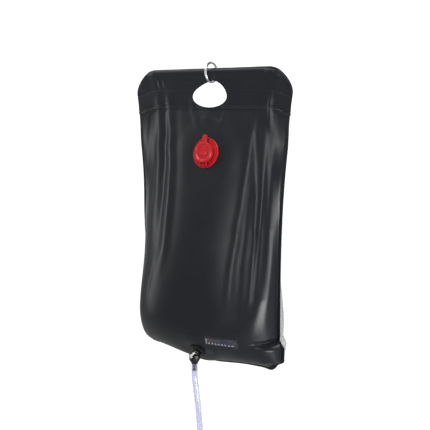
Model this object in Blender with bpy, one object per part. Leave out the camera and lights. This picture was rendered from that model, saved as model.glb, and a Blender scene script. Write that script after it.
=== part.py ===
"""Camp shower bag: a filled PVC water bag that hangs from a chrome gate ring.

Metres, +Z up, front of the bag towards -Y, width along X. The origin is the point at the
top of the ring's eye that a hook, line or branch bears on. The bag swings on the ring about
the axis of the rod in its top hem.
"""
import math

import bmesh
import bpy
from mathutils import Matrix, Vector

# General values
GAP = 0.0003                 # room between pieces that touch on the real object
CUT_OVERRUN = 0.004          # how far a cutter runs past what it cuts
SHEET = 0.0008               # thickness of the PVC sheet, with its welds

# Ring with a sprung gate
RING_WIRE = 0.005
RING_INNER = 0.0168          # radius of the ring's eye
RING_SIDES = 12
RING_STEP_DEG = 7.5
GATE_PIVOT_DEG = 28.0        # angles round the ring run from +Y up to +Z
GATE_TAIL_DEG = 22.5
GATE_SHOULDER_DEG = 38.0
GATE_TIP_DEG = 82.0
RING_NOSE_DEG = 83.5
EAR_TIP_DEG = 34.0
EAR_SLOT_DEG = 18.0
TONGUE_WIDTH = 0.0021
GATE_PIN_DIAMETER = 0.0016

# Rod and hem
ROD_DIAMETER = 0.015
ROD_WALL = 0.0015
ROD_LENGTH = 0.285
HEM_NECK_DROP = 0.0148       # below the rod's axis, where the two legs of the hem meet
HEM_END_RUN = 0.036          # length over which the hem goes flat beyond the rod
HEADER_WIDTH = 0.392
HEADER_CORNER = 0.040        # radius of the top corners
HEADER_SAG = 0.013           # how far the ends droop beyond the rod
HEADER_DROP = 0.0725         # lower edge of the hem's legs, below the rod's axis
SEAM_DROP = 0.066            # upper edge of the bag's sheets, welded in between the legs

# Hand hole, below the rod's axis
HOLE_WIDTH = 0.089
HOLE_PEAK_SHIFT = 0.0055     # of its peak, to the place where the ring pulls
HOLE_PEAK_WIDTH = 0.018
HOLE_WAIST_DROP = 0.0485
HOLE_BOTTOM_DROP = 0.0700
HOLE_SLOPE_SHARE = 0.62      # how straight the sloping upper sides are

# Water bag
BAG_SHIFT = -0.0050          # the ring bears a little to one side of the bag's middle
BAG_TOP_DROP = 0.076         # top of the water space, below the rod's axis
BAG_HEIGHT = 0.520           # of the water space, on the centre line
BOTTOM_BOW = 0.016           # how much higher the bottom corners lie than the middle
BOTTOM_ARCH = 0.005          # how much the bottom rises half-way to the corners
FIN = 0.008                  # welded flat edge round the water space
SHOULDER_SETBACK = 0.0010    # of the sheets' side edges, inside the header's
# Outside widths, fin to fin, as shares of the width at the top, and how far down they lie
WIDTH_SHARES = (1.0, 0.9231, 0.8949, 0.9026)
WIDTH_DROP_SHARES = (0.0, 0.28, 0.72, 1.0)
BAG_CORNER = 0.022           # radius of the bottom corners
FRONT_DEPTH = 0.086          # greatest bulge to the front and to the back
BACK_DEPTH = 0.084
BELLY_SHARE = 0.84           # height of the greatest bulge, as a share from the top
BULGE_POWER = 1.35
SLACK_SHARE = 0.45           # down to here the bag is a lens that turns into an ellipse
TOP_SECTION = (2.0, 1.0)     # powers of the curve across the bag: lens, ellipse, full belly
SLACK_SECTION = (2.0, 0.56)
BELLY_SECTION = (3.0, 0.36)
PANEL_ROWS = 14
PANEL_BOTTOM_ROWS = 8

# Folds where the wide sheets are gathered into the header. A line of shares runs down one crest
# or valley, at FOLD_DROP_SHARES of the bag's height from the top of the water space.
FOLD_HEIGHT = 0.0050
BACK_FOLD_SHARE = 0.6        # of the back sheet's folds
FOLD_DROP_SHARES = (0.0, 0.06, 0.16, 0.32, 0.50, 0.66, 0.80)
OUTER_LEFT_CREST_SHARES = (-0.745, -0.765, -0.762, -0.715, -0.700, -0.705, -0.710)
OUTER_LEFT_VALLEY_SHARES = (-0.674, -0.672, -0.658, -0.632, -0.610, -0.606, -0.610)
LEFT_CREST_SHARES = (-0.588, -0.565, -0.520, -0.500, -0.502, -0.520, -0.525)
LEFT_VALLEY_SHARES = (-0.481, -0.460, -0.410, -0.378, -0.366, -0.375, -0.380)
RIGHT_CREST_SHARES = (0.620, 0.614, 0.609, 0.611, 0.603, 0.600, 0.600)
RIGHT_SLOPE_SHARES = (0.645, 0.641, 0.645, 0.670, 0.693, 0.705, 0.705)
RIGHT_VALLEY_SHARES = (0.670, 0.668, 0.680, 0.730, 0.783, 0.805, 0.800)
THIN_CREST_SHARES = (0.720, 0.745, 0.795, 0.829, 0.856, 0.865, 0.866)
THIN_VALLEY_SHARES = (0.760, 0.775, 0.825, 0.866, 0.900, 0.906, 0.905)
BELLY_CREST_SHARES = (0.800, 0.820, 0.860, 0.903, 0.940, 0.955, 0.955)
OUTER_LEFT_CREST_HEIGHT_SHARES = (0.0, 0.60, 0.60, 0.60, 0.30, 0.0, 0.0)
OUTER_LEFT_VALLEY_HEIGHT_SHARES = (0.0, -0.50, -0.60, -0.60, -0.40, -0.10, 0.0)
LEFT_CREST_HEIGHT_SHARES = (0.0, 0.66, 0.90, 0.82, 0.50, 0.0, 0.0)
LEFT_VALLEY_HEIGHT_SHARES = (0.0, -0.46, -0.66, -0.60, -0.38, -0.06, 0.0)
RIGHT_CREST_HEIGHT_SHARES = (0.0, 0.30, 0.50, 0.67, 0.71, 0.46, 0.0)
RIGHT_SLOPE_HEIGHT_SHARES = (0.0, 0.03, 0.04, 0.0, -0.04, -0.08, 0.0)
RIGHT_VALLEY_HEIGHT_SHARES = (0.0, -0.24, -0.42, -0.70, -0.78, -0.62, 0.0)
THIN_CREST_HEIGHT_SHARES = (0.0, 0.05, 0.20, 0.46, 0.56, 0.50, 0.0)
THIN_VALLEY_HEIGHT_SHARES = (0.0, -0.40, -0.30, -0.34, -0.44, -0.30, 0.0)
BELLY_CREST_HEIGHT_SHARES = (0.0, 0.65, 0.70, 0.50, 0.85, 1.10, 0.0)
LEFT_COLUMN_SHARES = (-1.0, -0.975, -0.93, -0.86)     # plain columns beside and between folds
MIDDLE_COLUMN_SHARES = (-0.25, -0.13, -0.02, 0.09, 0.20, 0.30, 0.40, 0.50)
RIGHT_COLUMN_SHARES = (0.98, 1.0)

# Filler with a flip lid
FILLER_X = 0.0090
FILLER_DROP = 0.1615         # below the rod's axis
FILLER_TILT_DEG = 12.0       # turned up
FILLER_FLAT_RADIUS = 0.046   # the stiff flange keeps the sheet flat this far
FILLER_BLEND_RADIUS = 0.080
FLANGE_DIAMETER = 0.062
FLANGE_THICKNESS = 0.0020
FLANGE_WELD_WIDTH = 0.0060   # of the flange's edge that lies on the sheet
FLANGE_RIM_WIDTH = 0.0030
FLANGE_RIM_RISE = 0.0011
NECK_DIAMETER = 0.036
NECK_HEIGHT = 0.0085
NECK_BORE = 0.028
LID_DIAMETER = 0.042
LID_HEIGHT = 0.0130          # top of the lid's rim, above the sheet
LID_SKIRT_HEIGHT = 0.0045    # lower edge of the skirt, above the sheet
LID_RIM = 0.0042
LID_RECESS = 0.0016
LID_BOSS_DIAMETER = 0.0165
LID_BOSS_RISE = 0.0018
LID_SPIGOT_DIAMETER = 0.025
LID_SPIGOT_DEPTH = 0.0030
LID_SKIRT_PLAY = 0.0006
SEAL_THICKNESS = 0.0010
TAB_WIDTH = 0.0115
TAB_REACH = 0.0155           # beyond the lid's edge
TAB_THICKNESS = 0.0022
HINGE_SETBACK = 0.0046       # of the lid's pin, beyond the lid's edge
HINGE_RADIUS = 0.0022
HINGE_PIN_DIAMETER = 0.0018
KNUCKLE_WIDTH = 0.0036
KNUCKLE_COUNT = 5
TURN_STEPS = 32
BORE_STEPS = 15              # odd, so that a bore's corners miss those of what it crosses

# Temperature strip
STRIP_X = 0.0850
STRIP_RISE = 0.066           # of its centre, above the lowest point of the bag
STRIP_WIDTH = 0.064
STRIP_HEIGHT = 0.0130
STRIP_THICKNESS = 0.0006
STRIP_LIFT = 0.0009          # off the smooth shape of the sheet, whose facets lie below it
STRIP_TILT_DEG = 0.5
WINDOW_BORDER = 0.0018
WINDOW_THICKNESS = 0.0006

# Outlet with a quarter-turn tap
OUTLET_X = 0.0208
OUTLET_Y = -0.070
OUTLET_FLAT_RADIUS = 0.030
OUTLET_BLEND_RADIUS = 0.052
OUTLET_FLANGE_DIAMETER = 0.034
OUTLET_FLANGE_THICKNESS = 0.0020
OUTLET_BORE = 0.0050
OUTLET_STEM_DIAMETER = 0.013 # threaded stem through the sheet
OUTLET_STEM_LENGTH = 0.0065
NUT_DIAMETER = 0.024
NUT_THICKNESS = 0.0040
NUT_SIDES = 12
WASHER_THICKNESS = 0.0010
TAP_DROP = 0.0095            # of the tap's axis, from the flange's seat
TAP_HOUSING_DIAMETER = 0.022
TAP_HOUSING_TOP = 0.0015     # above the tap's axis
TAP_HOUSING_LENGTH = 0.0105
TAP_PLUG_DIAMETER = 0.0080
TAP_PLUG_REAR = 0.0060       # reach of the plug behind the outlet's axis
TAP_BOSS_WALL = 0.0012
TAP_FACE = 0.0120            # flat front of the housing, from the outlet's axis
TAP_LEVER_LENGTH = 0.0172
TAP_LEVER_WIDTH = 0.0038
TAP_LEVER_THICKNESS = 0.0030
TAP_REST_DEG = 45.0
TAP_SCREW_DIAMETER = 0.0018
TAP_SCREW_RISE = 0.0006
TAP_SEAL_WIDTH = 0.0014
TAP_SEAL_DEPTH = 0.0010
TAP_SEAL_LAND = 0.0012       # of the plug, between a seal's groove and the plug's end
NOZZLE_LENGTH = 0.0078
NOZZLE_TIP_DIAMETER = 0.0130
BARB_LENGTH = 0.0160
BARB_DIAMETER = 0.0080
BARB_RIDGE = 0.0006
BARB_RIDGES = 3

# Hose and shower head
HOSE_DIAMETER = 0.0125
HOSE_DROP = 0.446            # from the barb's tip to the head
HOSE_BOW = 0.0176            # how far the bow in the middle stands out
# Points down the hose: sideways as shares of the bow, down as shares of the drop.
HOSE_ROUTE_SHARES = [
    (0.00, 0.00), (0.00, 0.02), (0.08, 0.05), (0.26, 0.10), (0.47, 0.16), (0.66, 0.23),
    (0.82, 0.30), (0.94, 0.38), (1.00, 0.46), (0.99, 0.54), (0.92, 0.62), (0.79, 0.70),
    (0.62, 0.78), (0.44, 0.86), (0.32, 0.92), (0.26, 0.97), (0.26, 1.00),
]
HEAD_NECK_DIAMETER = 0.0155
HEAD_NECK_LENGTH = 0.012
HEAD_DIAMETER = 0.054
HEAD_HEIGHT = 0.046
HEAD_WALL = 0.0020
HEAD_SKIRT = 0.008
HEAD_BORE = 0.006
HEAD_SHOULDER_SHARE = 0.42   # height of the bell's shoulder between neck and skirt
ROSE_THICKNESS = 0.0025
ROSE_HOLE = 0.0022
ROSE_RING_RADII_SHARES = (0.30, 0.58, 0.84)
ROSE_RING_HOLES = (6, 10, 14)
ROSE_SEAL_THICKNESS = 0.0015

ROD_Z = -RING_INNER
RING_RADIUS = RING_INNER + RING_WIRE / 2
HEM_RADIUS = ROD_DIAMETER / 2 + GAP + SHEET / 2
PANEL_Y = GAP / 2 + SHEET / 2            # middle of a welded panel, from the seam plane
LEG_Y = PANEL_Y + SHEET + GAP            # middle of a leg of the hem
SHOULDER_WIDTH = HEADER_WIDTH - 2 * SHOULDER_SETBACK
CORNER_WIDTH = SHOULDER_WIDTH * WIDTH_SHARES[-1]
BAG_TOP = ROD_Z - BAG_TOP_DROP
BAG_BOTTOM = BAG_TOP - BAG_HEIGHT


def make_material(name, colour, roughness, metallic=0.0, alpha=1.0):
    material = bpy.data.materials.new(name)
    material.use_nodes = True
    shader = material.node_tree.nodes["Principled BSDF"]
    shader.inputs["Base Color"].default_value = (*colour, 1.0)
    shader.inputs["Roughness"].default_value = roughness
    shader.inputs["Metallic"].default_value = metallic
    shader.inputs["Alpha"].default_value = alpha
    return material


def clear_scene():
    for item in list(bpy.data.objects):
        bpy.data.objects.remove(item, do_unlink=True)


def smoothstep(value):
    value = min(max(value, 0.0), 1.0)
    return value * value * (3.0 - 2.0 * value)


def add_object(name, mesh, material, parent=None):
    piece = bpy.data.objects.new(name, mesh)
    bpy.context.collection.objects.link(piece)
    if material is not None:
        mesh.materials.append(material)
    if parent is not None:
        piece.parent = parent
    return piece


def finish_mesh(name, bm, material, parent=None, smooth_deg=35.0):
    """Turn a bmesh into a named object with sound normals and smooth round faces."""
    bmesh.ops.remove_doubles(bm, verts=bm.verts, dist=GAP / 100)
    bmesh.ops.recalc_face_normals(bm, faces=bm.faces)
    mesh = bpy.data.meshes.new(name)
    bm.to_mesh(mesh)
    bm.free()
    mesh.shade_smooth()
    mesh.set_sharp_from_angle(angle=math.radians(smooth_deg))
    return add_object(name, mesh, material, parent)


def make_frame(name, location, z_axis, x_hint):
    """An empty whose local Z is z_axis and whose local X is nearest to x_hint."""
    z_axis = z_axis.normalized()
    y_axis = z_axis.cross(x_hint).normalized()
    x_axis = y_axis.cross(z_axis)
    frame = bpy.data.objects.new(name, None)
    bpy.context.collection.objects.link(frame)
    turn = Matrix((x_axis, y_axis, z_axis)).transposed().to_4x4()
    frame.matrix_world = Matrix.Translation(location) @ turn
    return frame


def turned(name, profile, material, parent=None, steps=TURN_STEPS):
    """Turn a closed outline of (radius, height) points round the local Z axis."""
    bm = bmesh.new()
    rings = []
    for step in range(steps):
        angle = 2.0 * math.pi * step / steps
        ring = [bm.verts.new((radius * math.cos(angle), radius * math.sin(angle), height))
                for radius, height in profile]
        rings.append(ring)
    for step in range(steps):
        here = rings[step]
        there = rings[(step + 1) % steps]
        for index in range(len(profile)):
            after = (index + 1) % len(profile)
            if profile[index][0] == 0 and profile[after][0] == 0:
                continue
            bm.faces.new((here[index], here[after], there[after], there[index]))
    bmesh.ops.dissolve_degenerate(bm, dist=GAP / 100, edges=bm.edges)
    return finish_mesh(name, bm, material, parent)


def prism(name, outline, low, high, material, parent=None):
    """A straight prism over an outline of (x, y) points, from low to high along local Z."""
    bm = bmesh.new()
    floor = [bm.verts.new((x, y, low)) for x, y in outline]
    roof = [bm.verts.new((x, y, high)) for x, y in outline]
    bm.faces.new(floor)
    bm.faces.new(roof)
    for index in range(len(outline)):
        after = (index + 1) % len(outline)
        bm.faces.new((floor[index], floor[after], roof[after], roof[index]))
    return finish_mesh(name, bm, material, parent)


def rounded_box_outline(width, height, radius, corner_steps=4):
    """Points of a rectangle with round corners, about the origin."""
    points = []
    corners = ((1, 1, 0), (-1, 1, 90), (-1, -1, 180), (1, -1, 270))
    for side_x, side_y, start in corners:
        for step in range(corner_steps + 1):
            angle = math.radians(start + 90.0 * step / corner_steps)
            points.append((side_x * (width / 2 - radius) + radius * math.cos(angle),
                           side_y * (height / 2 - radius) + radius * math.sin(angle)))
    return points


def rod_along(name, start, end, radius, material, parent=None, steps=24):
    """A plain round rod between two points of the parent's frame."""
    start = Vector(start)
    end = Vector(end)
    bm = bmesh.new()
    length = (end - start).length
    turn = (end - start).to_track_quat("Z", "Y").to_matrix().to_4x4()
    place = Matrix.Translation((start + end) / 2) @ turn
    bmesh.ops.create_cone(bm, cap_ends=True, segments=steps, radius1=radius, radius2=radius,
                          depth=length, matrix=place)
    return finish_mesh(name, bm, material, parent)


def as_cutter(piece):
    piece.hide_render = True
    piece.display_type = "WIRE"
    return piece


def cut(piece, cutter, operation="DIFFERENCE"):
    """Cut, join or keep with another object, which then stays as a hidden guide."""
    modifier = piece.modifiers.new(operation.lower(), "BOOLEAN")
    modifier.operation = operation
    modifier.solver = "EXACT"
    modifier.object = as_cutter(cutter)
    return piece


def arc_tube(name, start_deg, end_deg, wire, material, start_lean=0.0, end_lean=0.0):
    """A round wire bent on the ring's circle, in the YZ plane about the rod's axis.

    A lean slants an end: how far a point lies back along the ring for each step outwards.
    """
    steps = max(2, math.ceil((end_deg - start_deg) / RING_STEP_DEG))
    bm = bmesh.new()
    rings = []
    for step in range(steps + 1):
        middle = math.radians(start_deg + (end_deg - start_deg) * step / steps)
        lean = {0: start_lean, steps: end_lean}.get(step, 0.0)
        ring = []
        for side in range(RING_SIDES):
            turn = 2.0 * math.pi * side / RING_SIDES
            outward = wire / 2 * math.cos(turn)
            reach = RING_RADIUS + outward
            angle = middle - lean * outward / RING_RADIUS
            ring.append(bm.verts.new((wire / 2 * math.sin(turn), reach * math.cos(angle),
                                      ROD_Z + reach * math.sin(angle))))
        rings.append(ring)
    for step in range(steps):
        for side in range(RING_SIDES):
            after = (side + 1) % RING_SIDES
            bm.faces.new((rings[step][side], rings[step][after],
                          rings[step + 1][after], rings[step + 1][side]))
    bm.faces.new(rings[0])
    bm.faces.new(rings[-1])
    return finish_mesh(name, bm, material)


def ring_point(angle_deg):
    angle = math.radians(angle_deg)
    return Vector((0.0, RING_RADIUS * math.cos(angle), ROD_Z + RING_RADIUS * math.sin(angle)))


def arc_slab(name, start_deg, end_deg, half_width):
    """A cutter: a slab of the ring's circle, wider than the wire and of a given thickness."""
    bm = bmesh.new()
    reach = RING_WIRE
    steps = max(2, math.ceil((end_deg - start_deg) / RING_STEP_DEG))
    rings = []
    for step in range(steps + 1):
        angle = math.radians(start_deg + (end_deg - start_deg) * step / steps)
        corners = ((-half_width, RING_RADIUS - reach), (half_width, RING_RADIUS - reach),
                   (half_width, RING_RADIUS + reach), (-half_width, RING_RADIUS + reach))
        rings.append([bm.verts.new((x, r * math.cos(angle), ROD_Z + r * math.sin(angle)))
                      for x, r in corners])
    for step in range(steps):
        for side in range(4):
            after = (side + 1) % 4
            bm.faces.new((rings[step][side], rings[step][after],
                          rings[step + 1][after], rings[step + 1][side]))
    bm.faces.new(rings[0])
    bm.faces.new(rings[-1])
    return finish_mesh(name, bm, None)


def build_ring(chrome):
    """The hanging ring: a fixed hook-shaped body and a gate on a pin that opens inwards.

    The gate's tip and the nose that it meets are cut square to the line from the pin, so
    that the tip passes the nose as it swings.
    """
    pivot = ring_point(GATE_PIVOT_DEG)
    ends = (Vector((-RING_WIRE, 0.0, 0.0)), Vector((RING_WIRE, 0.0, 0.0)))
    lean = math.tan(math.radians(GATE_TIP_DEG - GATE_PIVOT_DEG) / 2)
    body = arc_tube("ring_body", RING_NOSE_DEG, 360.0 + EAR_TIP_DEG, RING_WIRE, chrome,
                    start_lean=lean)
    slot = arc_slab("ring_slot_cutter", 360.0 + EAR_SLOT_DEG, 360.0 + EAR_TIP_DEG + RING_STEP_DEG,
                    TONGUE_WIDTH / 2 + GAP)
    cut(body, slot)
    pin_hole = rod_along("ring_pin_cutter", pivot + ends[0], pivot + ends[1],
                         GATE_PIN_DIAMETER / 2 + GAP, None)
    cut(body, pin_hole)
    gate = arc_tube("ring_gate", GATE_TAIL_DEG, GATE_TIP_DEG, RING_WIRE, chrome, end_lean=lean)
    for side in (-1, 1):
        cheek = arc_slab("gate_cheek_cutter", EAR_SLOT_DEG, GATE_SHOULDER_DEG, RING_WIRE / 2)
        cheek.location.x = side * (RING_WIRE / 2 + TONGUE_WIDTH / 2)
        cut(gate, cheek)
    gate_hole = rod_along("gate_pin_cutter", pivot + ends[0], pivot + ends[1],
                          GATE_PIN_DIAMETER / 2 + GAP, None)
    cut(gate, gate_hole)
    half = Vector((RING_WIRE / 2 - GAP, 0.0, 0.0))
    rod_along("ring_gate_pin", pivot - half, pivot + half, GATE_PIN_DIAMETER / 2, chrome,
              steps=16)


def header_sag(x):
    rod_end = ROD_LENGTH / 2
    return HEADER_SAG * smoothstep((abs(x) - rod_end) / (HEADER_WIDTH / 2 - rod_end))


def header_top(x):
    """Height of the top edge of the header at x, with its round corners."""
    straight = HEADER_WIDTH / 2 - HEADER_CORNER
    beyond = min(max(abs(x) - straight, 0.0), HEADER_CORNER)
    drop = HEADER_CORNER - math.sqrt(HEADER_CORNER ** 2 - beyond ** 2)
    return ROD_Z + HEM_RADIUS + SHEET / 2 - drop - header_sag(x)


def hem_radius(x):
    """Radius of the hem's roll: round over the rod, flat at the ends."""
    run = (abs(x) - ROD_LENGTH / 2 - SHEET) / HEM_END_RUN
    return HEM_RADIUS + (LEG_Y - HEM_RADIUS) * smoothstep(run)


def sheet_from_grid(name, grid, material):
    """A sheet of SHEET thickness about a grid of points, closed at its edges."""
    bm = bmesh.new()
    rows = [[bm.verts.new(point) for point in row] for row in grid]
    for lower, upper in zip(rows, rows[1:]):
        for index in range(len(lower) - 1):
            bm.faces.new((lower[index], lower[index + 1], upper[index + 1], upper[index]))
    mesh = bpy.data.meshes.new(name)
    bm.to_mesh(mesh)
    bm.free()
    mesh.shade_smooth()
    sheet = add_object(name, mesh, material)
    thicken = sheet.modifiers.new("thickness", "SOLIDIFY")
    thicken.thickness = SHEET
    thicken.offset = 0.0
    thicken.use_even_offset = True
    return sheet


def header_section(x):
    """The hem's section at x, from the front leg's lower edge over the roll to the back."""
    radius = hem_radius(x)
    centre = header_top(x) - SHEET / 2 - radius
    neck_drop = HEM_NECK_DROP * (radius - LEG_Y) / (HEM_RADIUS - LEG_Y)
    neck = centre - neck_drop
    lower = ROD_Z - HEADER_DROP - header_sag(x)
    leg_steps = 5
    leg = [(LEG_Y, lower + (neck - lower) * step / leg_steps) for step in range(leg_steps)]
    distance = math.hypot(LEG_Y, neck_drop)
    tangent = -math.pi / 2
    if distance > radius:
        tangent = math.atan2(-neck_drop, LEG_Y) + math.acos(radius / distance)
    tangent = max(tangent, math.atan2(-neck_drop, LEG_Y))
    roll_steps = 9
    roll = []
    for step in range(roll_steps + 1):
        angle = tangent + (math.pi / 2 - tangent) * step / roll_steps
        roll.append((radius * math.cos(angle), centre + radius * math.sin(angle)))
    half = leg + [(LEG_Y, neck)] + roll
    front = [(-y, z) for y, z in half]
    back = [(y, z) for y, z in reversed(half[:-1])]
    return front + back


def header_stations():
    """Places across the header, close together where the corners are round."""
    inner = ROD_LENGTH / 2
    outer = HEADER_WIDTH / 2
    inner_steps = 7
    outer_steps = 9
    right = [inner * step / inner_steps for step in range(inner_steps)]
    for step in range(outer_steps + 1):
        share = math.sin(math.pi / 2 * step / outer_steps)
        right.append(inner + (outer - inner) * share)
    return [-x for x in reversed(right[1:])] + right


def hand_hole_outline():
    """The hand hole as (x, z) points: half an ellipse below, drawn up to a peak above."""
    half = HOLE_WIDTH / 2
    peak = HOLE_PEAK_WIDTH / 2
    lip_radius = RING_INNER - GAP
    top = ROD_Z - math.sqrt(lip_radius ** 2 - (LEG_Y + SHEET / 2) ** 2)
    waist = ROD_Z - HOLE_WAIST_DROP
    depth = HOLE_BOTTOM_DROP - HOLE_WAIST_DROP
    steps = 10
    lower_steps = 21
    lower = []
    for step in range(lower_steps + 1):
        angle = math.pi + math.pi * step / lower_steps
        lower.append((half * math.cos(angle), waist + depth * math.sin(angle)))
    handle_low = Vector((half, waist + (top - waist) * HOLE_SLOPE_SHARE))
    handle_high = Vector((half - (half - peak) * HOLE_SLOPE_SHARE, top))
    shoulders = []
    for step in range(1, steps + 1):
        share = step / steps
        rest = 1.0 - share
        point = (Vector((half, waist)) * rest ** 3 + handle_low * (3 * share * rest ** 2)
                 + handle_high * (3 * share ** 2 * rest) + Vector((peak, top)) * share ** 3)
        shoulders.append((point.x, point.y, share ** 2 * HOLE_PEAK_SHIFT))
    right = [(x + shift, z) for x, z, shift in shoulders]
    left = [(shift - x, z) for x, z, shift in reversed(shoulders)]
    return lower + right + left


def hand_hole_cutter(name):
    bm = bmesh.new()
    reach = HEM_RADIUS + CUT_OVERRUN
    outline = hand_hole_outline()
    front = [bm.verts.new((x, -reach, z)) for x, z in outline]
    back = [bm.verts.new((x, reach, z)) for x, z in outline]
    bm.faces.new(front)
    bm.faces.new(back)
    for index in range(len(outline)):
        after = (index + 1) % len(outline)
        bm.faces.new((front[index], front[after], back[after], back[index]))
    return finish_mesh(name, bm, None)


def build_header(black, rod_plastic):
    grid = [[(x, y, z) for y, z in header_section(x)] for x in header_stations()]
    header = sheet_from_grid("header_sleeve", grid, black)
    cut(header, hand_hole_cutter("header_hole_cutter"))
    half = Vector((ROD_LENGTH / 2, 0.0, 0.0))
    axis = Vector((0.0, 0.0, ROD_Z))
    rod = rod_along("hem_rod", axis - half, axis + half, ROD_DIAMETER / 2, rod_plastic)
    overrun = Vector((CUT_OVERRUN, 0.0, 0.0))
    bore = rod_along("rod_bore_cutter", axis - half - overrun, axis + half + overrun,
                     ROD_DIAMETER / 2 - ROD_WALL, None)
    cut(rod, bore)


def outside_half_width(share):
    """Half the bag's width, fin included, by a cubic through the four width shares."""
    total = 0.0
    for knot, width in zip(WIDTH_DROP_SHARES, WIDTH_SHARES):
        weight = 1.0
        for other in WIDTH_DROP_SHARES:
            if other != knot:
                weight *= (share - other) / (knot - other)
        total += weight * width
    return total * SHOULDER_WIDTH / 2


def seam_top(x):
    return BAG_TOP - header_sag(x)


def seam_bottom(x):
    across = min(abs(x) / (CORNER_WIDTH / 2), 1.0)
    return BAG_BOTTOM + BOTTOM_BOW * across ** 2 + BOTTOM_ARCH * math.sin(math.pi * across) ** 2


def bulge(share, depth):
    """Depth of one side on the centre line: fuller downwards, round at the bottom."""
    if share < BELLY_SHARE:
        return depth * (1.0 - (1.0 - share / BELLY_SHARE) ** BULGE_POWER)
    below = min((share - BELLY_SHARE) / (1.0 - BELLY_SHARE), 1.0)
    return depth * math.sqrt(1.0 - below ** 2)


def bag_depth(across, share, depth):
    """Depth of one side at a share of its half width and of its height."""
    if share < SLACK_SHARE:
        blend = share / SLACK_SHARE
        powers = zip(TOP_SECTION, SLACK_SECTION)
    else:
        blend = smoothstep((share - SLACK_SHARE) / (BELLY_SHARE - SLACK_SHARE))
        powers = zip(SLACK_SECTION, BELLY_SECTION)
    fullness, edge = [start + (end - start) * blend for start, end in powers]
    return bulge(share, depth) * max(1.0 - abs(across) ** fullness, 0.0) ** edge


def share_at(x, z):
    return (seam_top(x) - z) / (seam_top(x) - seam_bottom(x))


def free_depth(x, z, depth):
    share = min(max(share_at(x, z), 0.0), 1.0)
    half = outside_half_width(share) - FIN
    return bag_depth(min(abs(x) / half, 1.0), share, depth)


def filler_frame_axes():
    """The filler's place on the middle of the front sheet, and its outward axis."""
    tilt = math.radians(FILLER_TILT_DEG)
    z = ROD_Z - FILLER_DROP
    place = Vector((FILLER_X, -PANEL_Y - free_depth(FILLER_X, z, FRONT_DEPTH), z))
    return place, Vector((0.0, -math.cos(tilt), math.sin(tilt)))


def outlet_frame_axes():
    """The outlet's place on the middle of the front sheet's underside, and its axis."""
    half = outside_half_width(BELLY_SHARE) - FIN
    full = bag_depth(OUTLET_X / half, BELLY_SHARE, FRONT_DEPTH)
    below = math.sqrt(1.0 - ((-OUTLET_Y - PANEL_Y) / full) ** 2)
    share = BELLY_SHARE + (1.0 - BELLY_SHARE) * below
    height = seam_top(OUTLET_X) - seam_bottom(OUTLET_X)
    place = Vector((OUTLET_X, OUTLET_Y, seam_top(OUTLET_X) - share * height))
    round_height = (1.0 - BELLY_SHARE) * height
    slope = Vector((0.0, OUTLET_Y / full ** 2, -below / round_height))
    return place, slope.normalized()


def settle_on_plane(point, place, axis, flat_radius, blend_radius):
    """Move a point of the sheet on to the plane of a stiff flange near it."""
    offset = point - place
    distance = (offset - axis * offset.dot(axis)).length
    if distance > blend_radius or abs(offset.dot(axis)) > blend_radius:
        return point
    weight = 1.0 - smoothstep((distance - flat_radius) / (blend_radius - flat_radius))
    return point - axis * (offset.dot(axis) * weight)


def settle_front(point):
    """Lay a point of the front sheet on the flat seats of the filler and of the outlet."""
    place, axis = filler_frame_axes()
    point = settle_on_plane(point, place, axis, FILLER_FLAT_RADIUS, FILLER_BLEND_RADIUS)
    place, axis = outlet_frame_axes()
    if point.y < place.y / 4:
        point = settle_on_plane(point, place, axis, OUTLET_FLAT_RADIUS, OUTLET_BLEND_RADIUS)
    return point


def panel_rows():
    """Shares of the bag's height for the rows of a panel, from the top down."""
    upper = [BELLY_SHARE * row / PANEL_ROWS for row in range(PANEL_ROWS)]
    lower = []
    for row in range(PANEL_BOTTOM_ROWS + 1):
        angle = math.pi / 2 * row / PANEL_BOTTOM_ROWS
        lower.append(BELLY_SHARE + (1.0 - BELLY_SHARE) * math.sin(angle))
    return upper + lower


def along_fold(line, share):
    """A fold's value at a share of the height, between the two nearest places on its line."""
    for index in range(1, len(FOLD_DROP_SHARES)):
        if share <= FOLD_DROP_SHARES[index]:
            above = FOLD_DROP_SHARES[index - 1]
            way = (share - above) / (FOLD_DROP_SHARES[index] - above)
            return line[index - 1] + (line[index] - line[index - 1]) * way
    return line[-1]


def panel_columns(share):
    """Columns of a row: shares of the half width and of FOLD_HEIGHT, from left to right."""
    left = ((OUTER_LEFT_CREST_SHARES, OUTER_LEFT_CREST_HEIGHT_SHARES),
            (OUTER_LEFT_VALLEY_SHARES, OUTER_LEFT_VALLEY_HEIGHT_SHARES),
            (LEFT_CREST_SHARES, LEFT_CREST_HEIGHT_SHARES),
            (LEFT_VALLEY_SHARES, LEFT_VALLEY_HEIGHT_SHARES))
    right = ((RIGHT_CREST_SHARES, RIGHT_CREST_HEIGHT_SHARES),
             (RIGHT_SLOPE_SHARES, RIGHT_SLOPE_HEIGHT_SHARES),
             (RIGHT_VALLEY_SHARES, RIGHT_VALLEY_HEIGHT_SHARES),
             (THIN_CREST_SHARES, THIN_CREST_HEIGHT_SHARES),
             (THIN_VALLEY_SHARES, THIN_VALLEY_HEIGHT_SHARES),
             (BELLY_CREST_SHARES, BELLY_CREST_HEIGHT_SHARES))
    columns = [(across, 0.0) for across in LEFT_COLUMN_SHARES]
    columns += [(along_fold(line, share), along_fold(height, share)) for line, height in left]
    columns += [(across, 0.0) for across in MIDDLE_COLUMN_SHARES]
    columns += [(along_fold(line, share), along_fold(height, share)) for line, height in right]
    return columns + [(across, 0.0) for across in RIGHT_COLUMN_SHARES]


def round_corner(x, z, radius, half, low):
    """Bring a point near a bottom corner on to a round corner."""
    centre_x = half - radius
    centre_z = low + radius
    off_x = abs(x) - centre_x
    off_z = centre_z - z
    if off_x <= 0 or off_z <= 0:
        return x, z
    squeeze = max(off_x, off_z) / math.hypot(off_x, off_z)
    return math.copysign(centre_x + off_x * squeeze, x), centre_z - off_z * squeeze


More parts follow.
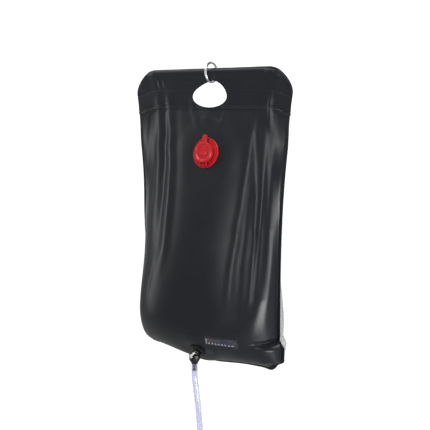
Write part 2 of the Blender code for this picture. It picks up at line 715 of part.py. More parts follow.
def panel_point(across, share, depth, side, lift):
    """A point of a panel's middle surface inside the weld. side is -1 for the front."""
    half = outside_half_width(share) - FIN
    x = across * half
    z = seam_top(x) - share * (seam_top(x) - seam_bottom(x))
    y = PANEL_Y + max(bag_depth(across, share, depth) + lift, 0.0)
    corner_half = CORNER_WIDTH / 2 - FIN
    x, z = round_corner(x, z, BAG_CORNER - FIN, corner_half, seam_bottom(corner_half))
    return Vector((x, side * y, z))


def panel_grid(depth, side, fold_height):
    """Rows of points over a whole panel, with its fin and the strip inside the header."""
    grid = []
    columns = [across for across, height in panel_columns(0.0)]
    strip_steps = 2
    for step in range(strip_steps):
        drop = SEAM_DROP + (BAG_TOP_DROP - SEAM_DROP) * step / strip_steps
        row = []
        for across in [-1.0] + columns + [1.0]:
            half = SHOULDER_WIDTH / 2 - FIN
            x = across * half
            if len(row) in (0, len(columns) + 1):
                x = math.copysign(half + FIN, across)
            row.append(Vector((x, side * PANEL_Y, ROD_Z - drop - header_sag(x))))
        grid.append(row)
    for share in panel_rows():
        inner = [panel_point(across, share, depth, side, fold_height * height)
                 for across, height in panel_columns(share)]
        half = outside_half_width(share)
        z = seam_top(half) - share * (seam_top(half) - seam_bottom(half))
        edge_x, edge_z = round_corner(half, z, BAG_CORNER, CORNER_WIDTH / 2,
                                      seam_bottom(half) - FIN)
        left = Vector((-edge_x, side * PANEL_Y, edge_z))
        right = Vector((edge_x, side * PANEL_Y, edge_z))
        grid.append([left] + inner + [right])
    bottom = []
    columns = [across for across, height in panel_columns(1.0)]
    for across in [-1.0] + columns + [1.0]:
        half = outside_half_width(1.0) - FIN
        x = across * half
        if len(bottom) in (0, len(columns) + 1):
            x = math.copysign(half + FIN, across)
        x, z = round_corner(x, seam_bottom(x) - FIN, BAG_CORNER, CORNER_WIDTH / 2,
                            seam_bottom(half) - FIN)
        bottom.append(Vector((x, side * PANEL_Y, z)))
    grid.append(bottom)
    return grid


def build_panels(black, clear):
    filler_place, filler_axis = filler_frame_axes()
    outlet_place, outlet_axis = outlet_frame_axes()
    front_grid = [[settle_front(point) for point in row]
                  for row in panel_grid(FRONT_DEPTH, -1, FOLD_HEIGHT)]
    front = sheet_from_grid("front_panel", front_grid, black)
    back_grid = panel_grid(BACK_DEPTH, 1, FOLD_HEIGHT * BACK_FOLD_SHARE)
    back = sheet_from_grid("back_panel", back_grid, clear)
    cut(front, hand_hole_cutter("front_hole_cutter"))
    cut(back, hand_hole_cutter("back_hole_cutter"))
    reach = FILLER_FLAT_RADIUS / 4
    filler_hole = rod_along("filler_hole_cutter", filler_place - filler_axis * reach,
                            filler_place + filler_axis * reach,
                            FLANGE_DIAMETER / 2 - FLANGE_WELD_WIDTH, None)
    cut(front, filler_hole)
    outlet_hole = rod_along("outlet_hole_cutter", outlet_place - outlet_axis * reach,
                            outlet_place + outlet_axis * reach,
                            OUTLET_STEM_DIAMETER / 2 + GAP, None)
    cut(front, outlet_hole)


def hinge_knuckle(name, index, foot, y, z, start_deg, sweep_deg, material, parent):
    """One knuckle: a round eye about the pin at (y, z), run on to the points of its foot."""
    left = -KNUCKLE_COUNT * KNUCKLE_WIDTH / 2 + index * KNUCKLE_WIDTH + GAP / 2
    right = left + KNUCKLE_WIDTH - GAP
    steps = 12
    outline = []
    for step in range(steps + 1):
        angle = math.radians(start_deg + sweep_deg * step / steps)
        outline.append((y + HINGE_RADIUS * math.cos(angle), z + HINGE_RADIUS * math.sin(angle)))
    outline += foot
    bm = bmesh.new()
    near = [bm.verts.new((left, py, pz)) for py, pz in outline]
    far = [bm.verts.new((right, py, pz)) for py, pz in outline]
    bm.faces.new(near)
    bm.faces.new(far)
    for index in range(len(outline)):
        after = (index + 1) % len(outline)
        bm.faces.new((near[index], near[after], far[after], far[index]))
    return finish_mesh(name, bm, material, parent)


def build_filler(red, rubber, steel):
    """Welded flange with a neck, and a flip lid with a pull tab, a boss and a flat seal."""
    place, axis = filler_frame_axes()
    frame = make_frame("filler_frame", place + axis * (SHEET / 2), axis, Vector((1, 0, 0)))
    seat = GAP
    flange_top = seat + FLANGE_THICKNESS
    neck = NECK_DIAMETER / 2
    bore = NECK_BORE / 2
    rim = FLANGE_DIAMETER / 2
    edge = FLANGE_THICKNESS / 3
    body = turned("filler_body", [
        (bore, seat), (rim - edge, seat), (rim, seat + edge),
        (rim, flange_top + FLANGE_RIM_RISE - edge), (rim - edge, flange_top + FLANGE_RIM_RISE),
        (rim - FLANGE_RIM_WIDTH + edge, flange_top + FLANGE_RIM_RISE),
        (rim - FLANGE_RIM_WIDTH, flange_top), (neck, flange_top), (neck, NECK_HEIGHT - edge),
        (neck - edge, NECK_HEIGHT), (bore, NECK_HEIGHT)], red, frame)
    hinge_y = -LID_DIAMETER / 2 - HINGE_SETBACK
    hinge_z = flange_top + HINGE_RADIUS + 2 * GAP
    for index in range(1, KNUCKLE_COUNT, 2):
        foot = [(hinge_y - HINGE_RADIUS, hinge_z), (hinge_y - HINGE_RADIUS / 2, seat + edge),
                (hinge_y + HINGE_RADIUS, seat + edge)]
        knuckle = hinge_knuckle(f"body_knuckle_{index}", index, foot, hinge_y, hinge_z, 0.0,
                                165.0, red, frame)
        cut(body, knuckle, "UNION")
    half = KNUCKLE_COUNT * KNUCKLE_WIDTH / 2
    pin_cutter = rod_along("body_pin_cutter", (-half - CUT_OVERRUN, hinge_y, hinge_z),
                           (half + CUT_OVERRUN, hinge_y, hinge_z),
                           HINGE_PIN_DIAMETER / 2 + GAP, None, frame)
    cut(body, pin_cutter)

    outer = LID_DIAMETER / 2
    inner = neck + LID_SKIRT_PLAY
    under = NECK_HEIGHT + GAP + SEAL_THICKNESS + GAP
    floor = LID_HEIGHT - LID_RECESS
    boss = LID_BOSS_DIAMETER / 2
    spigot = LID_SPIGOT_DIAMETER / 2
    soft = LID_RIM / 5
    lid = turned("filler_lid", [
        (0.0, under - LID_SPIGOT_DEPTH), (spigot, under - LID_SPIGOT_DEPTH), (spigot, under),
        (inner, under), (inner, LID_SKIRT_HEIGHT), (outer, LID_SKIRT_HEIGHT),
        (outer, LID_HEIGHT - soft), (outer - soft, LID_HEIGHT),
        (outer - LID_RIM + soft, LID_HEIGHT), (outer - LID_RIM, LID_HEIGHT - soft),
        (outer - LID_RIM - soft, floor), (boss + soft, floor),
        (boss, floor + LID_BOSS_RISE - soft), (boss - soft, floor + LID_BOSS_RISE),
        (boss / 2, floor + LID_BOSS_RISE + soft / 3), (0.0, floor + LID_BOSS_RISE + soft / 2)],
        red, frame)
    tab_low = LID_HEIGHT - TAB_THICKNESS - soft
    tab_points = [(-TAB_WIDTH / 2, outer - LID_RIM), (TAB_WIDTH / 2, outer - LID_RIM)]
    tab_end = outer + TAB_REACH - TAB_WIDTH / 2
    tab_steps = 8
    for step in range(tab_steps + 1):
        angle = math.pi * step / tab_steps
        tab_points.append((TAB_WIDTH / 2 * math.cos(angle),
                           tab_end + TAB_WIDTH / 2 * math.sin(angle)))
    cut(lid, prism("tab_guide", tab_points, tab_low, LID_HEIGHT - soft, red, frame), "UNION")
    for index in range(0, KNUCKLE_COUNT, 2):
        root = LID_RIM / 2 - outer
        foot = [(root, hinge_z), (root, hinge_z + 2 * HINGE_RADIUS)]
        knuckle = hinge_knuckle(f"lid_knuckle_{index}", index, foot, hinge_y, hinge_z, 110.0,
                                220.0, red, frame)
        cut(lid, knuckle, "UNION")
    lid_cutter = rod_along("lid_pin_cutter", (-half - CUT_OVERRUN, hinge_y, hinge_z),
                           (half + CUT_OVERRUN, hinge_y, hinge_z),
                           HINGE_PIN_DIAMETER / 2 + GAP, None, frame)
    cut(lid, lid_cutter)
    rod_along("lid_hinge_pin", (-half, hinge_y, hinge_z), (half, hinge_y, hinge_z),
              HINGE_PIN_DIAMETER / 2, steel, frame, steps=16)
    turned("lid_seal", [
        (spigot + GAP, NECK_HEIGHT + GAP), (neck - edge, NECK_HEIGHT + GAP),
        (neck - edge, NECK_HEIGHT + GAP + SEAL_THICKNESS),
        (spigot + GAP, NECK_HEIGHT + GAP + SEAL_THICKNESS)], rubber, frame)


def front_point(x, z):
    return settle_front(Vector((x, -PANEL_Y - free_depth(x, z, FRONT_DEPTH), z)))


def surface_outward(x, z):
    """The front sheet's outer face at (x, z) and its outward direction there."""
    place = front_point(x, z)
    across = front_point(x + SHEET, z) - place
    upward = front_point(x, z + SHEET) - place
    outward = across.cross(upward).normalized()
    return place + outward * (SHEET / 2), outward


def curved_plate(name, width, height, lift, thickness, columns, rows, material, crown=0.0):
    """A thin plate that lies on the bag's curved front, its middle raised by crown."""
    tilt = math.radians(STRIP_TILT_DEG)
    centre_z = BAG_BOTTOM + STRIP_RISE
    bm = bmesh.new()
    faces = []
    for level in (0.0, thickness):
        grid = []
        for row in range(rows + 1):
            v = row / rows - 0.5
            line = []
            for column in range(columns + 1):
                u = column / columns - 0.5
                x = STRIP_X + u * width * math.cos(tilt) - v * height * math.sin(tilt)
                z = centre_z + u * width * math.sin(tilt) + v * height * math.cos(tilt)
                place, outward = surface_outward(x, z)
                border = 0 < row < rows and 0 < column < columns
                rise = lift + level + (crown if border else 0.0)
                line.append(bm.verts.new(place + outward * rise))
            grid.append(line)
        faces.append(grid)
    for grid in faces:
        for row in range(rows):
            for column in range(columns):
                bm.faces.new((grid[row][column], grid[row][column + 1],
                              grid[row + 1][column + 1], grid[row + 1][column]))
    low, high = faces
    for column in range(columns):
        bm.faces.new((low[0][column], low[0][column + 1], high[0][column + 1], high[0][column]))
        bm.faces.new((low[-1][column], low[-1][column + 1], high[-1][column + 1],
                      high[-1][column]))
    for row in range(rows):
        bm.faces.new((low[row][0], low[row + 1][0], high[row + 1][0], high[row][0]))
        bm.faces.new((low[row][-1], low[row + 1][-1], high[row + 1][-1], high[row][-1]))
    return finish_mesh(name, bm, material)


def build_strip(strip_black, clear):
    """Liquid-crystal temperature strip in a clear welded pocket."""
    curved_plate("temperature_strip", STRIP_WIDTH, STRIP_HEIGHT, STRIP_LIFT, STRIP_THICKNESS,
                 12, 3, strip_black)
    curved_plate("strip_window", STRIP_WIDTH + 4 * WINDOW_BORDER,
                 STRIP_HEIGHT + 4 * WINDOW_BORDER, STRIP_LIFT, WINDOW_THICKNESS, 16, 6, clear,
                 crown=STRIP_THICKNESS + 2 * GAP)


def build_outlet(black, rubber, white, steel):
    """Bulkhead outlet with a quarter-turn tap, its nut inside the bag, and a hose barb."""
    place, axis = outlet_frame_axes()
    frame = make_frame("outlet_frame", place + axis * (SHEET / 2), axis, Vector((1, 0, 0)))
    washer_top = GAP + WASHER_THICKNESS
    flange_low = washer_top + GAP
    flange_high = flange_low + OUTLET_FLANGE_THICKNESS
    flange = OUTLET_FLANGE_DIAMETER / 2
    stem = OUTLET_STEM_DIAMETER / 2
    elbow_rise = flange_low + TAP_DROP
    inside = -SHEET - OUTLET_STEM_LENGTH
    edge = OUTLET_FLANGE_THICKNESS / 3
    bore = OUTLET_BORE / 2
    body = turned("outlet_body", [
        (0.0, inside), (stem, inside), (stem, flange_low), (flange - edge, flange_low),
        (flange, flange_low + edge), (flange, flange_high - edge), (flange - edge, flange_high),
        (stem + edge, flange_high), (stem, flange_high + edge), (stem, elbow_rise),
        (0.0, elbow_rise)], black, frame)

    elbow = place + axis * (SHEET / 2 + elbow_rise)
    tap_frame = bpy.data.objects.new("tap_frame", None)
    bpy.context.collection.objects.link(tap_frame)
    tap_frame.matrix_world = Matrix.Translation(elbow)
    housing = TAP_HOUSING_DIAMETER / 2
    top = TAP_HOUSING_TOP
    low = top - TAP_HOUSING_LENGTH
    tip = low - NOZZLE_LENGTH
    barb = BARB_DIAMETER / 2
    end = tip - BARB_LENGTH
    outline = [(0.0, top), (housing - edge, top), (housing, top - edge), (housing, low),
               (NOZZLE_TIP_DIAMETER / 2, tip), (barb, tip)]
    for index in range(BARB_RIDGES):
        start = tip - BARB_LENGTH * (index + 1) / (BARB_RIDGES + 1)
        outline += [(barb, start), (barb + BARB_RIDGE, start), (barb, start - 2 * BARB_RIDGE)]
    outline += [(barb, end + BARB_RIDGE), (barb - BARB_RIDGE, end), (0.0, end)]
    cut(body, turned("nozzle_guide", outline, black, tap_frame), "UNION")
    plug_radius = TAP_PLUG_DIAMETER / 2
    face = -TAP_FACE
    boss = rod_along("tap_boss_guide", (0.0, TAP_PLUG_REAR + GAP + TAP_BOSS_WALL, 0.0),
                     (0.0, face, 0.0),
                     plug_radius + TAP_BOSS_WALL, black, tap_frame)
    cut(body, boss, "UNION")
    plug_bore = rod_along("plug_bore_cutter", (0.0, TAP_PLUG_REAR + GAP, 0.0),
                          (0.0, face - CUT_OVERRUN, 0.0), plug_radius + GAP, None, tap_frame)
    cut(body, plug_bore)
    down_bore = rod_along("nozzle_bore_cutter", (0.0, 0.0, -plug_radius / 2),
                          (0.0, 0.0, end - CUT_OVERRUN), bore, None, tap_frame,
                          steps=BORE_STEPS)
    cut(body, down_bore)
    stem_bore = rod_along("stem_bore_cutter", (0.0, 0.0, inside - CUT_OVERRUN),
                          (0.0, 0.0, elbow_rise - plug_radius / 2), bore, None, frame,
                          steps=BORE_STEPS)
    cut(body, stem_bore)

    plug_frame = make_frame("plug_frame", elbow, Vector((0, 1, 0)), Vector((1, 0, 0)))
    root = plug_radius - TAP_SEAL_DEPTH
    setback = TAP_SEAL_LAND + TAP_SEAL_WIDTH / 2
    seals = (("tap_seal_front", face + setback), ("tap_seal_rear", TAP_PLUG_REAR - setback))
    outline = [(0.0, face), (plug_radius, face)]
    for seal, y in seals:
        near = y - TAP_SEAL_WIDTH / 2
        far = y + TAP_SEAL_WIDTH / 2
        outline += [(plug_radius, near), (root, near), (root, far), (plug_radius, far)]
        turned(seal, [(root + GAP / 2, near + GAP), (plug_radius + GAP / 2, near + GAP),
                      (plug_radius + GAP / 2, far - GAP), (root + GAP / 2, far - GAP)], rubber,
               plug_frame, steps=24)
    outline += [(plug_radius, TAP_PLUG_REAR), (0.0, TAP_PLUG_REAR)]
    plug = turned("tap_plug", outline, white, plug_frame, steps=26)
    turn = math.radians(TAP_REST_DEG)
    lever_way = Vector((math.sin(turn), 0.0, math.cos(turn)))
    port = rod_along("plug_port_cutter", -lever_way * TAP_PLUG_DIAMETER,
                     lever_way * TAP_PLUG_DIAMETER, bore, None, tap_frame, steps=BORE_STEPS)
    cut(plug, port)

    lever_frame = make_frame("lever_frame", elbow + Vector((0.0, face, 0.0)),
                             Vector((0, -1, 0)), lever_way)
    reach = (TAP_LEVER_LENGTH - TAP_LEVER_WIDTH) / 2
    outline = [(x + reach, y) for x, y in rounded_box_outline(
        TAP_LEVER_LENGTH, TAP_LEVER_WIDTH, TAP_LEVER_WIDTH / 2 - GAP / 10)]
    lever_top = GAP + TAP_LEVER_THICKNESS
    lever = prism("tap_lever", outline, GAP, lever_top, white, lever_frame)
    screw_cutter = rod_along("lever_screw_cutter", (0.0, 0.0, 0.0),
                             (0.0, 0.0, lever_top + CUT_OVERRUN),
                             TAP_SCREW_DIAMETER / 2 + GAP, None, lever_frame, steps=16)
    cut(lever, screw_cutter)
    rod_along("tap_screw", (0.0, 0.0, GAP), (0.0, 0.0, lever_top + TAP_SCREW_RISE),
              TAP_SCREW_DIAMETER / 2, steel, lever_frame, steps=16)

    turned("outlet_washer", [
        (stem + GAP, GAP), (flange - edge, GAP), (flange - edge, washer_top),
        (stem + GAP, washer_top)], rubber, frame)
    nut_top = -SHEET - GAP
    turned("outlet_nut", [
        (stem + GAP, nut_top - NUT_THICKNESS), (NUT_DIAMETER / 2, nut_top - NUT_THICKNESS),
        (NUT_DIAMETER / 2, nut_top), (stem + GAP, nut_top)], black, frame, steps=NUT_SIDES)
    return elbow + Vector((0.0, 0.0, end))


def hose_points(tip):
    return [tip + Vector((sideways * HOSE_BOW, 0.0, -GAP - down * HOSE_DROP))
            for sideways, down in HOSE_ROUTE_SHARES]


def build_hose(clear, points):
    """The free hose, as a plain tube on its route below the barb."""
    path = bpy.data.curves.new("hose", "CURVE")
    path.dimensions = "3D"
    path.render_resolution_u = 0
    path.bevel_depth = HOSE_DIAMETER / 2
    path.bevel_resolution = 3
    path.use_fill_caps = True
    spline = path.splines.new("POLY")
    spline.points.add(len(points) - 1)
    for place, point in zip(spline.points, points):
        place.co = (*point, 1.0)
    path.materials.append(clear)
    hose = bpy.data.objects.new("hose", path)
    bpy.context.collection.objects.link(hose)


def build_shower_head(black, rubber, grey, top):
    """Shower head on the hose's end: a bell, a rose plate with holes and a flat seal."""
    frame = make_frame("head_frame", top - Vector((0.0, 0.0, GAP)), Vector((0, 0, -1)),
                       Vector((1, 0, 0)))
    neck = HEAD_NECK_DIAMETER / 2
    outer = HEAD_DIAMETER / 2
    bell = HEAD_HEIGHT - HEAD_SKIRT
    edge = HEAD_WALL / 3
    ledge = HEAD_HEIGHT - ROSE_THICKNESS - GAP - ROSE_SEAL_THICKNESS - GAP
    turned("shower_head_body", [
        (HEAD_BORE / 2, 0.0), (neck, 0.0), (neck, HEAD_NECK_LENGTH),
        ((neck + outer) / 2, HEAD_NECK_LENGTH + (bell - HEAD_NECK_LENGTH) * HEAD_SHOULDER_SHARE),
        (outer, bell), (outer, HEAD_HEIGHT - edge), (outer - edge, HEAD_HEIGHT),
        (outer - HEAD_WALL, HEAD_HEIGHT), (outer - HEAD_WALL, ledge),
        (outer - 2 * HEAD_WALL, ledge), (outer - 2 * HEAD_WALL, bell),
        ((neck + outer) / 2 - HEAD_WALL,
         HEAD_NECK_LENGTH + HEAD_WALL + (bell - HEAD_NECK_LENGTH) * HEAD_SHOULDER_SHARE),
        (HEAD_BORE / 2, HEAD_NECK_LENGTH + HEAD_WALL)], black, frame)
    seat = outer - HEAD_WALL - GAP
    turned("head_seal", [
        (seat - HEAD_WALL, ledge + GAP), (seat, ledge + GAP),
        (seat, ledge + GAP + ROSE_SEAL_THICKNESS),
        (seat - HEAD_WALL, ledge + GAP + ROSE_SEAL_THICKNESS)], rubber, frame)
    low = HEAD_HEIGHT - ROSE_THICKNESS
    rose = turned("shower_rose", [(0.0, low), (seat, low), (seat, HEAD_HEIGHT),
                                  (0.0, HEAD_HEIGHT)], grey, frame)
    drills = bmesh.new()
    for share, count in zip(ROSE_RING_RADII_SHARES, ROSE_RING_HOLES):
        for hole in range(count):
            angle = 2.0 * math.pi * hole / count
            middle = Vector((share * seat * math.cos(angle), share * seat * math.sin(angle),
                             low + ROSE_THICKNESS / 2))
            bmesh.ops.create_cone(drills, cap_ends=True, segments=8, radius1=ROSE_HOLE / 2,
                                  radius2=ROSE_HOLE / 2,
                                  depth=ROSE_THICKNESS + 2 * CUT_OVERRUN,
                                  matrix=Matrix.Translation(middle))
    cut(rose, finish_mesh("rose_drills_cutter", drills, None, frame))


def hang_in_ring(ring_pieces):
    """Move all but the ring to where the bag hangs in it."""
    for piece in bpy.data.objects:
        if piece.parent is None and piece not in ring_pieces:
            piece.location.x += BAG_SHIFT


def build():
    clear_scene()
    black_sheet = make_material("black_sheet", (0.022, 0.023, 0.026), 0.38)
    clear_sheet = make_material("clear_sheet", (0.80, 0.82, 0.84), 0.15, alpha=0.35)
    chrome = make_material("chrome", (0.80, 0.80, 0.82), 0.08, metallic=1.0)
    rod_plastic = make_material("rod_plastic", (0.30, 0.30, 0.31), 0.45)
    red_plastic = make_material("red_plastic", (0.45, 0.012, 0.020), 0.30)
    black_plastic = make_material("black_plastic", (0.012, 0.012, 0.013), 0.35)
    white_plastic = make_material("white_plastic", (0.80, 0.80, 0.80), 0.30)
    grey_plastic = make_material("grey_plastic", (0.35, 0.36, 0.38), 0.40)
    rubber = make_material("black_rubber", (0.02, 0.02, 0.02), 0.70)
    strip_black = make_material("strip_film", (0.06, 0.06, 0.08), 0.20)
    hose_clear = make_material("hose_clear", (0.75, 0.76, 0.86), 0.20, alpha=0.6)
    build_ring(chrome)
    ring_pieces = list(bpy.data.objects)
    build_header(black_sheet, rod_plastic)
    build_panels(black_sheet, clear_sheet)
    build_filler(red_plastic, rubber, chrome)
    build_strip(strip_black, clear_sheet)
    barb_tip = build_outlet(black_plastic, rubber, white_plastic, chrome)
    points = hose_points(barb_tip)
    build_hose(hose_clear, points)
    build_shower_head(black_plastic, rubber, grey_plastic, points[-1])
    hang_in_ring(ring_pieces)
    bpy.context.view_layer.update()


build()
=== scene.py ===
# %% [markdown]
# A camp shower bag, seen as in a product photograph. The imported CAD model is the fixed frame:
# every piece made here lies where that model says, in metres. Small hard pieces keep their CAD
# mesh and get a finish. The sheets, the hose, the filler and the strip are made afresh, because
# folds, soft edges and printed cells are more than the CAD solids hold.

# %% Load the frame and keep its meshes
import math

import bpy
from mathutils import Matrix, Vector, noise


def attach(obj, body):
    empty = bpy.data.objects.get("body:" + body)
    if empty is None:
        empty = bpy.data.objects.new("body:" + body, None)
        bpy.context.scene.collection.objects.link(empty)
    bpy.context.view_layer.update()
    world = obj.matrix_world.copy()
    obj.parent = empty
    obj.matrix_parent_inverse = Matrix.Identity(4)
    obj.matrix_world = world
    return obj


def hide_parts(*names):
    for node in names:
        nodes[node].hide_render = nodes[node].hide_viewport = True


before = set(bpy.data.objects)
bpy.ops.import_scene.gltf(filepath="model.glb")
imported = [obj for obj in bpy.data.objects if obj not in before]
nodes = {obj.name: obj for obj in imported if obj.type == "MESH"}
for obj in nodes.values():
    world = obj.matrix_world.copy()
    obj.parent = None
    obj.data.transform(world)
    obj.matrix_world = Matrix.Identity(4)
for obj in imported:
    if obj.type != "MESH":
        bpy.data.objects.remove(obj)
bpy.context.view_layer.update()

MM = 0.001


def named(name):
    """Name the object that an operator has just added, and hand it back."""
    bpy.context.object.name = name
    return bpy.context.object

# %% [markdown]
# The camera comes first. The photograph was taken from the bag's left-hand side, a little from
# above, with a long lens, so the front is turned away to one side. The ring hangs just left of
# the middle of the picture, which a small turn of the camera gives.

# %% Camera
CAMERA_PLACE = Vector((0.9263, -1.2428, -0.078))
CAMERA_TURN_DEG = 36.43
CAMERA_PITCH_DEG = 8.44
CAMERA_LENS_MM = 63.2

bpy.ops.object.camera_add(location=CAMERA_PLACE)
camera = named("camera")
camera.rotation_euler = (math.radians(90 - CAMERA_PITCH_DEG), 0, math.radians(CAMERA_TURN_DEG))
camera.data.lens = CAMERA_LENS_MM
camera.data.sensor_width = 36
bpy.context.scene.camera = camera
print("camera at", tuple(round(v, 3) for v in camera.location))

# %% [markdown]
# A material is a small graph of nodes. One helper adds a node with its settings and links, and
# one turns a hex colour, as seen on a screen, into the linear values that the renderer adds up.
# No real surface is perfectly even, so nearly every material gets a grain of a real size.

# %% Helpers for materials
def linear(hex_colour):
    """A screen colour such as "#26272a" as linear red, green, blue and alpha."""
    parts = [int(hex_colour[i:i + 2], 16) / 255 for i in (1, 3, 5)]
    return [p / 12.92 if p < 0.04045 else ((p + 0.055) / 1.055) ** 2.4 for p in parts] + [1.0]


def add_node(material, kind, settings=None, links=None):
    """Add a node of a kind; settings fill its properties and sockets, links feed its inputs."""
    node = material.node_tree.nodes.new("ShaderNode" + kind)
    for key, value in (settings or {}).items():
        if key in node.inputs:
            node.inputs[key].default_value = value
        else:
            setattr(node, key, value)
    for key, socket in (links or {}).items():
        material.node_tree.links.new(socket, node.inputs[key])
    return node


def new_material(name, colour, gloss, grain=None, **sockets):
    """A material with its colour, its roughness or the two ends of it, and its grain."""
    material = bpy.data.materials.new(name)
    material.use_nodes = True
    shader = material.node_tree.nodes["Principled BSDF"]
    shader.inputs["Base Color"].default_value = linear(colour)
    for key, value in sockets.items():
        shader.inputs[key.replace("_", " ")].default_value = value
    if grain:
        add_grain(material, shader, gloss, *grain)
    else:
        shader.inputs["Roughness"].default_value = gloss
    return material


def add_grain(material, shader, gloss, grain_mm, height_mm):
    """Fine surface grain of a real size in millimetres, and gloss that varies with it."""
    place = add_node(material, "TexCoord").outputs["Object"]
    fine = add_node(material, "TexNoise", {"Scale": 1000 / grain_mm, "Detail": 4.0},
                    {"Vector": place})
    broad = add_node(material, "TexNoise", {"Scale": 40.0, "Detail": 3.0}, {"Vector": place})
    spread = add_node(material, "MapRange", {"To Min": gloss[0], "To Max": gloss[1]},
                      {"Value": broad.outputs["Fac"]})
    bump = add_node(material, "Bump", {"Strength": 0.35, "Distance": height_mm * MM},
                    {"Height": fine.outputs["Fac"]})
    material.node_tree.links.new(spread.outputs["Result"], shader.inputs["Roughness"])
    material.node_tree.links.new(bump.outputs["Normal"], shader.inputs["Normal"])

# %% [markdown]
# The hose is a clear vinyl tube with a milky tinge. It is pushed over the barb, hangs straight
# down, bows a little and ends in the shower head. It follows the same points as the CAD hose.
# A real wall with a bore lets the black barb show through at the top.

# %% Hose: route
HOSE_TOP = Vector((0.0158, -0.07921, -0.6178))
HOSE_RADIUS = 0.0125 / 2
HOSE_WALL = 0.0017
HOSE_DROP = 0.446
HOSE_BOW = 0.0176
BARB_LENGTH = 0.0160
HOSE_SHARES = [
    (0.00, 0.00), (0.00, 0.02), (0.08, 0.05), (0.26, 0.10), (0.47, 0.16), (0.66, 0.23),
    (0.82, 0.30), (0.94, 0.38), (1.00, 0.46), (0.99, 0.54), (0.92, 0.62), (0.79, 0.70),
    (0.62, 0.78), (0.44, 0.86), (0.32, 0.92), (0.26, 0.97), (0.26, 1.00),
]

hose_route = [HOSE_TOP + Vector((0, 0, BARB_LENGTH - 0.0004))]
hose_route += [HOSE_TOP + Vector((side * HOSE_BOW, 0, -0.0003 - down * HOSE_DROP))
               for side, down in HOSE_SHARES]


# %% Helpers for tubes, modifiers and the tie to the frame
def pick(*pieces):
    """Select these pieces alone, the first of them active."""
    bpy.ops.object.select_all(action="DESELECT")
    for piece in pieces:
        piece.select_set(True)
    bpy.context.view_layer.objects.active = pieces[0]


def smooth_tube(name, points, radius, capped=False):
    """A round tube along points, with a smooth curve between them, as one mesh."""
    bpy.ops.curve.primitive_bezier_curve_add()
    curve = named(name)
    spline = curve.data.splines[0]
    spline.bezier_points.add(len(points) - len(spline.bezier_points))
    for knot, point in zip(spline.bezier_points, points):
        knot.co = point
        knot.handle_left_type = knot.handle_right_type = "AUTO"
    curve.data.resolution_u = 8
    curve.data.bevel_depth = radius
    curve.data.bevel_resolution = 8
    curve.data.use_fill_caps = capped
    bpy.ops.object.convert(target="MESH")
    tube = bpy.context.object
    bpy.ops.object.shade_smooth()
    return tube


def apply_modifier(piece, kind, **settings):
    """Add one modifier with its settings and apply it at once."""
    pick(piece)
    modifier = piece.modifiers.new(kind.lower(), kind)
    for key, value in settings.items():
        setattr(modifier, key, value)
    bpy.ops.object.modifier_apply(modifier=modifier.name)


def tie(piece, body, node, material=None):
    """Let a piece ride on a body in place of a CAD node, with its material alone on it."""
    if material:
        piece.data.materials.clear()
        piece.data.materials.append(material)
    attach(piece, body)
    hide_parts(node)
    print(piece.name, len(piece.data.vertices), "vertices")


# %% Hose: tube and bore
hose = smooth_tube("hose_tube", hose_route, HOSE_RADIUS)
apply_modifier(hose, "SOLIDIFY", thickness=HOSE_WALL, offset=-1.0)
hose_vinyl = new_material("clear_vinyl_hose", "#dddff0", (0.10, 0.22), (3.0, 0.02), IOR=1.46,
                          Transmission_Weight=0.94)
tie(hose, "bag", "hose", hose_vinyl)

# %% [markdown]
# The bag is two PVC sheets welded at their edges: black in front, clear behind. Filled with
# water it is a pillow, thin at the header and full near the bottom. The same few named sizes
# that shaped the CAD panels shape a much finer grid here, so the folds can be laid on top.

# %% Shape of the filled bag
ROD_Z = -0.0168
SHEET = 0.0008
GAP = 0.0003
BAG_SHIFT = -0.0050
HEADER_WIDTH = 0.392
HEADER_CORNER = 0.040
HEADER_SAG = 0.013
HEADER_DROP = 0.0725
ROD_LENGTH = 0.285
SEAM_DROP = 0.066
BAG_TOP_DROP = 0.076
BAG_HEIGHT = 0.520
BOTTOM_BOW = 0.016
BOTTOM_ARCH = 0.005
FIN = 0.008
SHOULDER_WIDTH = 0.390
WIDTH_SHARES = (1.0, 0.9231, 0.8949, 0.9026)
WIDTH_DROP_SHARES = (0.0, 0.28, 0.72, 1.0)
CORNER_WIDTH = SHOULDER_WIDTH * WIDTH_SHARES[-1]
BAG_CORNER = 0.022
FRONT_DEPTH = 0.086
BACK_DEPTH = 0.084
BELLY_SHARE = 0.84
BULGE_POWER = 1.35
SLACK_SHARE = 0.45
TOP_SECTION = (2.0, 1.0)
SLACK_SECTION = (2.0, 0.56)
BELLY_SECTION = (3.0, 0.36)
PANEL_Y = GAP / 2 + SHEET / 2
LEG_Y = PANEL_Y + SHEET + GAP
BAG_TOP = ROD_Z - BAG_TOP_DROP
BAG_BOTTOM = BAG_TOP - BAG_HEIGHT


def smoothstep(value):
    """0 below 0, 1 above 1, and a smooth rise between."""
    value = min(max(value, 0.0), 1.0)
    return value * value * (3.0 - 2.0 * value)


def ramp(value, start, run):
    """A smooth rise from 0 at the start to 1 one run further; a run below 0 goes downwards."""
    return smoothstep((value - start) / run)


def bell(value, middle, width):
    """A smooth hump, 1 at its middle and about a third one width away from it."""
    return math.exp(-((value - middle) / width) ** 2)


def header_sag(x):
    """How far the header droops beyond the ends of its rod."""
    rod_end = ROD_LENGTH / 2
    return HEADER_SAG * smoothstep((abs(x) - rod_end) / (HEADER_WIDTH / 2 - rod_end))


def half_width(share):
    """Half the outside width at a share of the height: a cubic through four widths."""
    total = 0.0
    for knot, width in zip(WIDTH_DROP_SHARES, WIDTH_SHARES):
        weight = 1.0
        for other in WIDTH_DROP_SHARES:
            if other != knot:
                weight *= (share - other) / (knot - other)
        total += weight * width
    return total * SHOULDER_WIDTH / 2


def seam_top(x):
    """Height of the weld under the header."""
    return BAG_TOP - header_sag(x)


